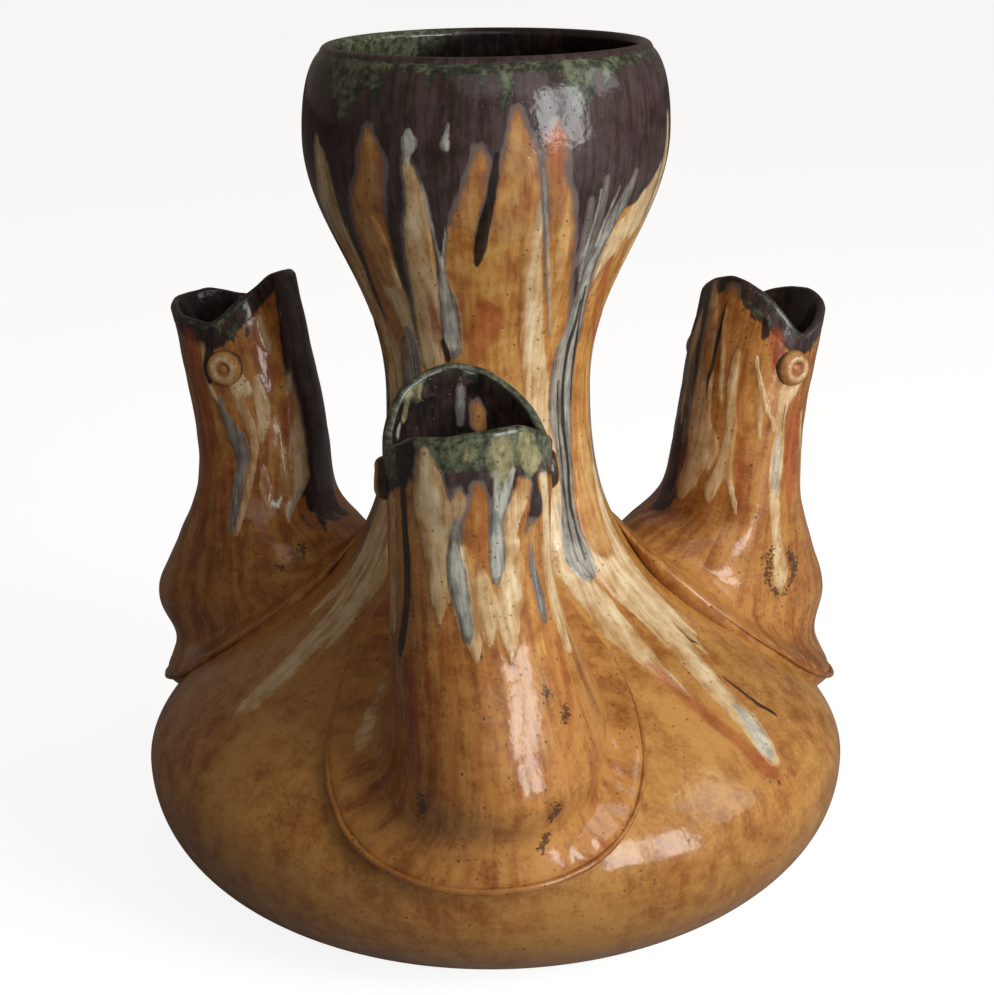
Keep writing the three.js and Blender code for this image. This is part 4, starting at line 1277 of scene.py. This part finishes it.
def make_cup():
    """The cup from the waist up, with its rounded lip and its dark inside, olive green on one side. The dark
    inside is partly dark glaze and partly painted shade.
    """
    under_lip = 8       # points of the offset line that would lie inside the lip
    lip_middle = np.array([RIM_RADIUS, RIM_LINE - LIP_RADIUS])
    round_lip = np.linspace(math.pi, 0, 9)[:-1]
    lip_line = lip_middle + LIP_RADIUS * np.stack([np.cos(round_lip), np.sin(round_lip)], 1)
    wall_line = np.vstack([offset(whole_cup, WALL)[:-under_lip], lip_line[:1]])
    inside_line = np.vstack([spaced(wall_line, CUP_INSIDE_ROW), lip_line[1:]])
    inside = handmade(turned(inside_line, TURNS))
    fields = plain_glaze(inside, "plum")
    down = np.arange(len(inside))[:, None] * CUP_INSIDE_ROW
    olive_side = 9 * np.exp(-((form_clay.degrees[:1] - 228) / 36) ** 2) - 0.5
    fields["green"] = np.clip(olive_side - 0.3 * down, BARE, DEEPEST)
    # Painted shade, partly dark glaze: a dark coat over the plum from 4 mm below the lip down, kept off the
    # olive side.
    fields["dark"] = np.minimum(np.clip(down - 4, BARE, COVERED), -0.5 * fields["green"])
    make_thrown("vase_mouth_cup", "mouth_cup", "plum_glaze", cup_glaze, slice(0, waist_row + 1),
                after=[(inside, rows_of(fields, BACKWARD))])


make_body()
make_neck()
make_cup()


# The spouts, their coils and their eyes

# How far down a spout green and plum reach from its lip, and how much green the lip itself has
GREEN_REACH = {"front": 8.5, "right": 0.5, "left": 0.5}
PLUM_REACH = {"front": 11.0, "right": 5.5, "left": 5.5}
LIP_GREEN = {"front": 3.0, "right": -0.5, "left": -0.5}

COIL_STATIONS = 241
COIL_SIDES = 20
EYE_SIDES = 48
EYE_ROW = 0.35

# An eye's outline, as (reach from its middle, rise over the head)
EYE_PROFILE = np.array([(0.3, 1.95), (0.8, 1.9), (1.3, 1.5), (1.8, 1.65), (2.3, 2.35), (2.8, 2.6),
                        (3.4, 2.55), (4.1, 2.25), (4.7, 1.75), (5.2, 1.0), (5.5, 0.2),
                        (EYE_RADIUS, -0.6), (EYE_RADIUS, -EYE_HEIGHT)])
FLAT_EYE = ("right", "right")       # this eye was pressed flatter than the others
UPWARD = np.array([0, 0, 1.0])


def glaze_outside(side, number, clay, lift):
    """On a spout: the runs, and green and plum below the lip with a swaying edge."""
    fields = glaze_fields(placed_runs[side] + unseen_spout_runs(70 + number, *HIDDEN[side]), clay)
    sway = np.sin(np.radians(clay.degrees) * 3 + number)
    lay_more(fields, "green", GREEN_REACH[side] + sway - clay.run)
    lay_more(fields, "plum", PLUM_REACH[side] + 1.5 * sway - clay.run)
    return with_flow(fields, clay.degrees, clay.run, 21.0, lift)


def glaze_inside(side, clay, lift):
    """Inside a spout: a near-black coat over plum, partly dark glaze and partly painted shade of the tube's
    inside, green at the lip, and in the front one the runs that show.
    """
    fields = bare_fields(clay.run.shape)
    fields["plum"][:] = COVERED
    # Painted shade, partly dark glaze: the near-black coat lines the inside down to 60 mm below the lip.
    fields["dark"] = np.clip(60 - clay.run, BARE, DEEPEST)
    fields["green"] = np.clip(6 - clay.run, BARE, DEEPEST)
    if side == "front":
        shown = glaze_fields(placed_runs["front_inside"], clay)
        fields["dark"] = np.minimum(fields["dark"], -0.5 - np.maximum.reduce(list(shown.values())))
        fields = {layer: np.maximum(fields[layer], shown[layer]) for layer in LAYERS}
    return with_flow(fields, clay.degrees, -clay.run, 15.0, lift)


def glaze_lip(side, lip, degrees, lift):
    """On the edge of a lip: plum with a little dark and green, and more green on the front one."""
    fields = bare_fields(lip.shape[:2])
    fields["green"][:] = LIP_GREEN[side]
    fields["dark"][:] = -0.2
    fields["plum"][:] = COVERED
    return with_flow(fields, degrees[:len(lip)], -np.arange(len(lip))[:, None] * 0.9, 20.0, lift)


def make_spout(side, number):
    """A fish head with its skirt, from the lip down the outside, and up the inside back to the lip."""
    outside, inside, lip = spouts[side]
    lift = 60.0 * (number + 1)
    outside_fields = glaze_outside(side, number, outside, lift)
    fields = stacked(outside_fields,
                     rows_of(glaze_inside(side, inside, lift), BACKWARD),
                     rows_of(glaze_lip(side, lip, outside.degrees, lift), BACKWARD))
    rings = np.concatenate([raised(outside.rings, outside_fields), inside.rings[::-1], lip[::-1]])
    make_piece(f"vase_{side}_spout", handmade(about(rings, SPOUTS[side].turn)), f"{side}_spout",
               "spout_glaze", spout_glaze, fields)


def make_coil(side, number):
    """The fine coil of clay along a skirt's edge, half sunk under the brim."""
    stations = np.radians(np.linspace(-COIL_END, COIL_END, COIL_STATIONS))
    middle = section_ring(EDGE, stations, push=HEM_PUSH)
    ahead = np.gradient(middle, axis=0)
    outward = np.stack([ahead[:, 1], -ahead[:, 0], np.zeros(len(ahead))], 1)
    outward /= np.linalg.norm(outward, axis=1, keepdims=True)
    thin = np.clip((COIL_END - np.abs(np.degrees(stations))) / COIL_TAPER, 0.3, 1)[:, None, None]
    spin = (np.arange(COIL_SIDES) * TURN / COIL_SIDES)[None, :, None]
    coil = (middle[:, None] + outward[:, None] * (0.9 * thin * np.cos(spin) - 0.3)
            + UPWARD * (thin * np.sin(spin) + 0.5))
    coil += 0.15 * clay_noise(coil, 7, 90 + number)[..., None] * outward[:, None]
    make_piece(f"vase_{side}_skirt_coil", handmade(about(coil, SPOUTS[side].turn)), f"{side}_skirt_coil",
               "coil_glaze", coil_glaze, plain_glaze(coil), closed=False)


def make_eye(side, number, eye_side, hand):
    """A pellet of clay on the side of a head, with a raised ring round its pupil."""
    head = SPOUTS[side]
    eye_section = spout_sections(head)[1]
    seat = section_ring(eye_section, np.array([hand * EYE_TURN + HEAD_TWIST]))[0]
    out = seat - axis_at(np.array(EYE_LINE))
    out[2] = 0
    out /= np.linalg.norm(out)
    sideways = np.array([-out[1], out[0], 0])
    profile = np.vstack([spaced(EYE_PROFILE[:-1], EYE_ROW), EYE_PROFILE[-1:]])
    if (side, eye_side) == FLAT_EYE:
        profile = profile * (0.9, 0.6)
    reach, rise = profile[:, 0, None, None], profile[:, 1, None, None]
    spin = (np.arange(EYE_SIDES) * TURN / EYE_SIDES)[None, :, None]
    pellet = seat + out * rise + reach * (sideways * np.cos(spin) + UPWARD * np.sin(spin))
    pellet += 0.2 * clay_noise(pellet, 6, 120 + number)[..., None] * out
    ring = profile[:, :1] + np.zeros(EYE_SIDES)
    fields = plain_glaze(pellet)
    fields["cream"] = 1.1 - np.abs(ring - 2.9)
    fields["rust"] = 1.2 - np.abs(ring - 1.2)
    fields["dark"] = ring - (4.6 if side == "front" else 5.4)
    make_piece(f"vase_{side}_{eye_side}_eye", handmade(about(pellet, head.turn)),
               f"{side}_spout_{eye_side}_eye", "eye_glaze", eye_glaze, fields, closed=False)


for number, side in enumerate(SPOUTS):
    make_spout(side, number)
    make_coil(side, number)
    make_eye(side, number, "left", -1)
    make_eye(side, number, "right", 1)


# Camera, floor and light

SENSOR = 36     # millimetres
PAPER_HALF = 6  # metres
ROOM = (0.125, 0.092, 0.07, 1)
WHITE = (1, 1, 1, 1)
PAPER = (0.35, 0.35, 0.35, 1)


def place_camera():
    """The camera that took the photograph."""
    camera_data = bpy.data.cameras.new("camera")
    camera_data.sensor_fit = "VERTICAL"
    camera_data.sensor_height = SENSOR
    camera_data.lens = FOCAL_PIXELS / PHOTO_HEIGHT * SENSOR
    camera = bpy.data.objects.new("camera", camera_data)
    facing = Matrix((picture_right, picture_up, -forward)).transposed().to_4x4()
    camera.matrix_world = Matrix.Translation(CAMERA_PLACE * MM) @ facing
    bpy.context.scene.collection.objects.link(camera)
    bpy.context.scene.camera = camera


def soft_lamp(name, azimuth, elevation, distance, width, height, watts, aim=(0, -20, 120)):
    """A rectangular lamp that faces the vase from the given side."""
    lamp = bpy.data.lights.new(name, "AREA")
    lamp.shape = "RECTANGLE"
    lamp.size, lamp.size_y = width * MM, height * MM
    lamp.energy = watts
    turn, rise = math.radians(azimuth), math.radians(elevation)
    toward = Vector((math.sin(turn) * math.cos(rise), -math.cos(turn) * math.cos(rise), math.sin(rise)))
    lamp_object = bpy.data.objects.new(name, lamp)
    lamp_object.location = (Vector(aim) + toward * distance) * MM
    lamp_object.rotation_euler = toward.to_track_quat("Z", "Y").to_euler()
    bpy.context.scene.collection.objects.link(lamp_object)


def light_room():
    """A dim warm room for the clay to reflect, which the camera sees as white."""
    world = bpy.data.worlds.new("studio")
    bpy.context.scene.world = world
    world.use_nodes = True
    tree = world.node_tree
    tree.nodes.clear()
    path = add_node(tree, "ShaderNodeLightPath")
    gloss = add_node(tree, "ShaderNodeMath", {0: (path, "Is Glossy Ray"), 1: 0.05}, operation="MULTIPLY")
    seen = add_node(tree, "ShaderNodeMath", {0: (path, "Is Camera Ray"), 1: (path, "Is Transmission Ray")},
                    operation="MAXIMUM")
    seen = add_node(tree, "ShaderNodeMath", {0: seen, 1: gloss}, operation="MAXIMUM")
    room = add_node(tree, "ShaderNodeBackground", {"Color": ROOM, "Strength": 1.0})
    white = add_node(tree, "ShaderNodeBackground", {"Color": WHITE, "Strength": 1.0})
    mixed = add_node(tree, "ShaderNodeMixShader", {0: seen, 1: room, 2: white})
    add_node(tree, "ShaderNodeOutputWorld", {"Surface": mixed})


def white_paper():
    """Matt white paper. It gives the eye an almost white ground with the vase's soft shadow on it."""
    paper = bpy.data.materials.new("white_paper_floor")
    paper.use_nodes = True
    tree = paper.node_tree
    tree.nodes.clear()
    path = add_node(tree, "ShaderNodeLightPath")
    matt = add_node(tree, "ShaderNodeBsdfDiffuse", {"Color": PAPER})
    share = add_node(tree, "ShaderNodeMath", {0: (path, "Is Camera Ray"), 1: 0.88}, operation="MULTIPLY")
    glow = add_node(tree, "ShaderNodeEmission", {"Color": WHITE, "Strength": share})
    mixed = add_node(tree, "ShaderNodeAddShader", {0: matt, 1: glow})
    add_node(tree, "ShaderNodeOutputMaterial", {"Surface": mixed})
    return paper


def lay_floor():
    """A square of paper, far wider than the vase."""
    corners = [(x * PAPER_HALF, y * PAPER_HALF, 0) for x, y in ((-1, -1), (1, -1), (1, 1), (-1, 1))]
    floor_mesh = bpy.data.meshes.new("floor")
    floor_mesh.from_pydata(corners, [], [(0, 1, 2, 3)])
    floor = bpy.data.objects.new("floor", floor_mesh)
    bpy.context.scene.collection.objects.link(floor)
    floor_mesh.materials.append(white_paper())


place_camera()
soft_lamp("window_left_pane", 39, 14, 1400, 320, 760, 8.5)
soft_lamp("window_right_pane", 56, 14, 1400, 320, 760, 8.0)
soft_lamp("side_lamp", 84, 30, 1500, 500, 700, 3.4)
soft_lamp("room_fill", 15, 44, 1600, 1400, 1000, 4.0)
light_room()
lay_floor()
bpy.context.scene.view_settings.view_transform = "Standard"
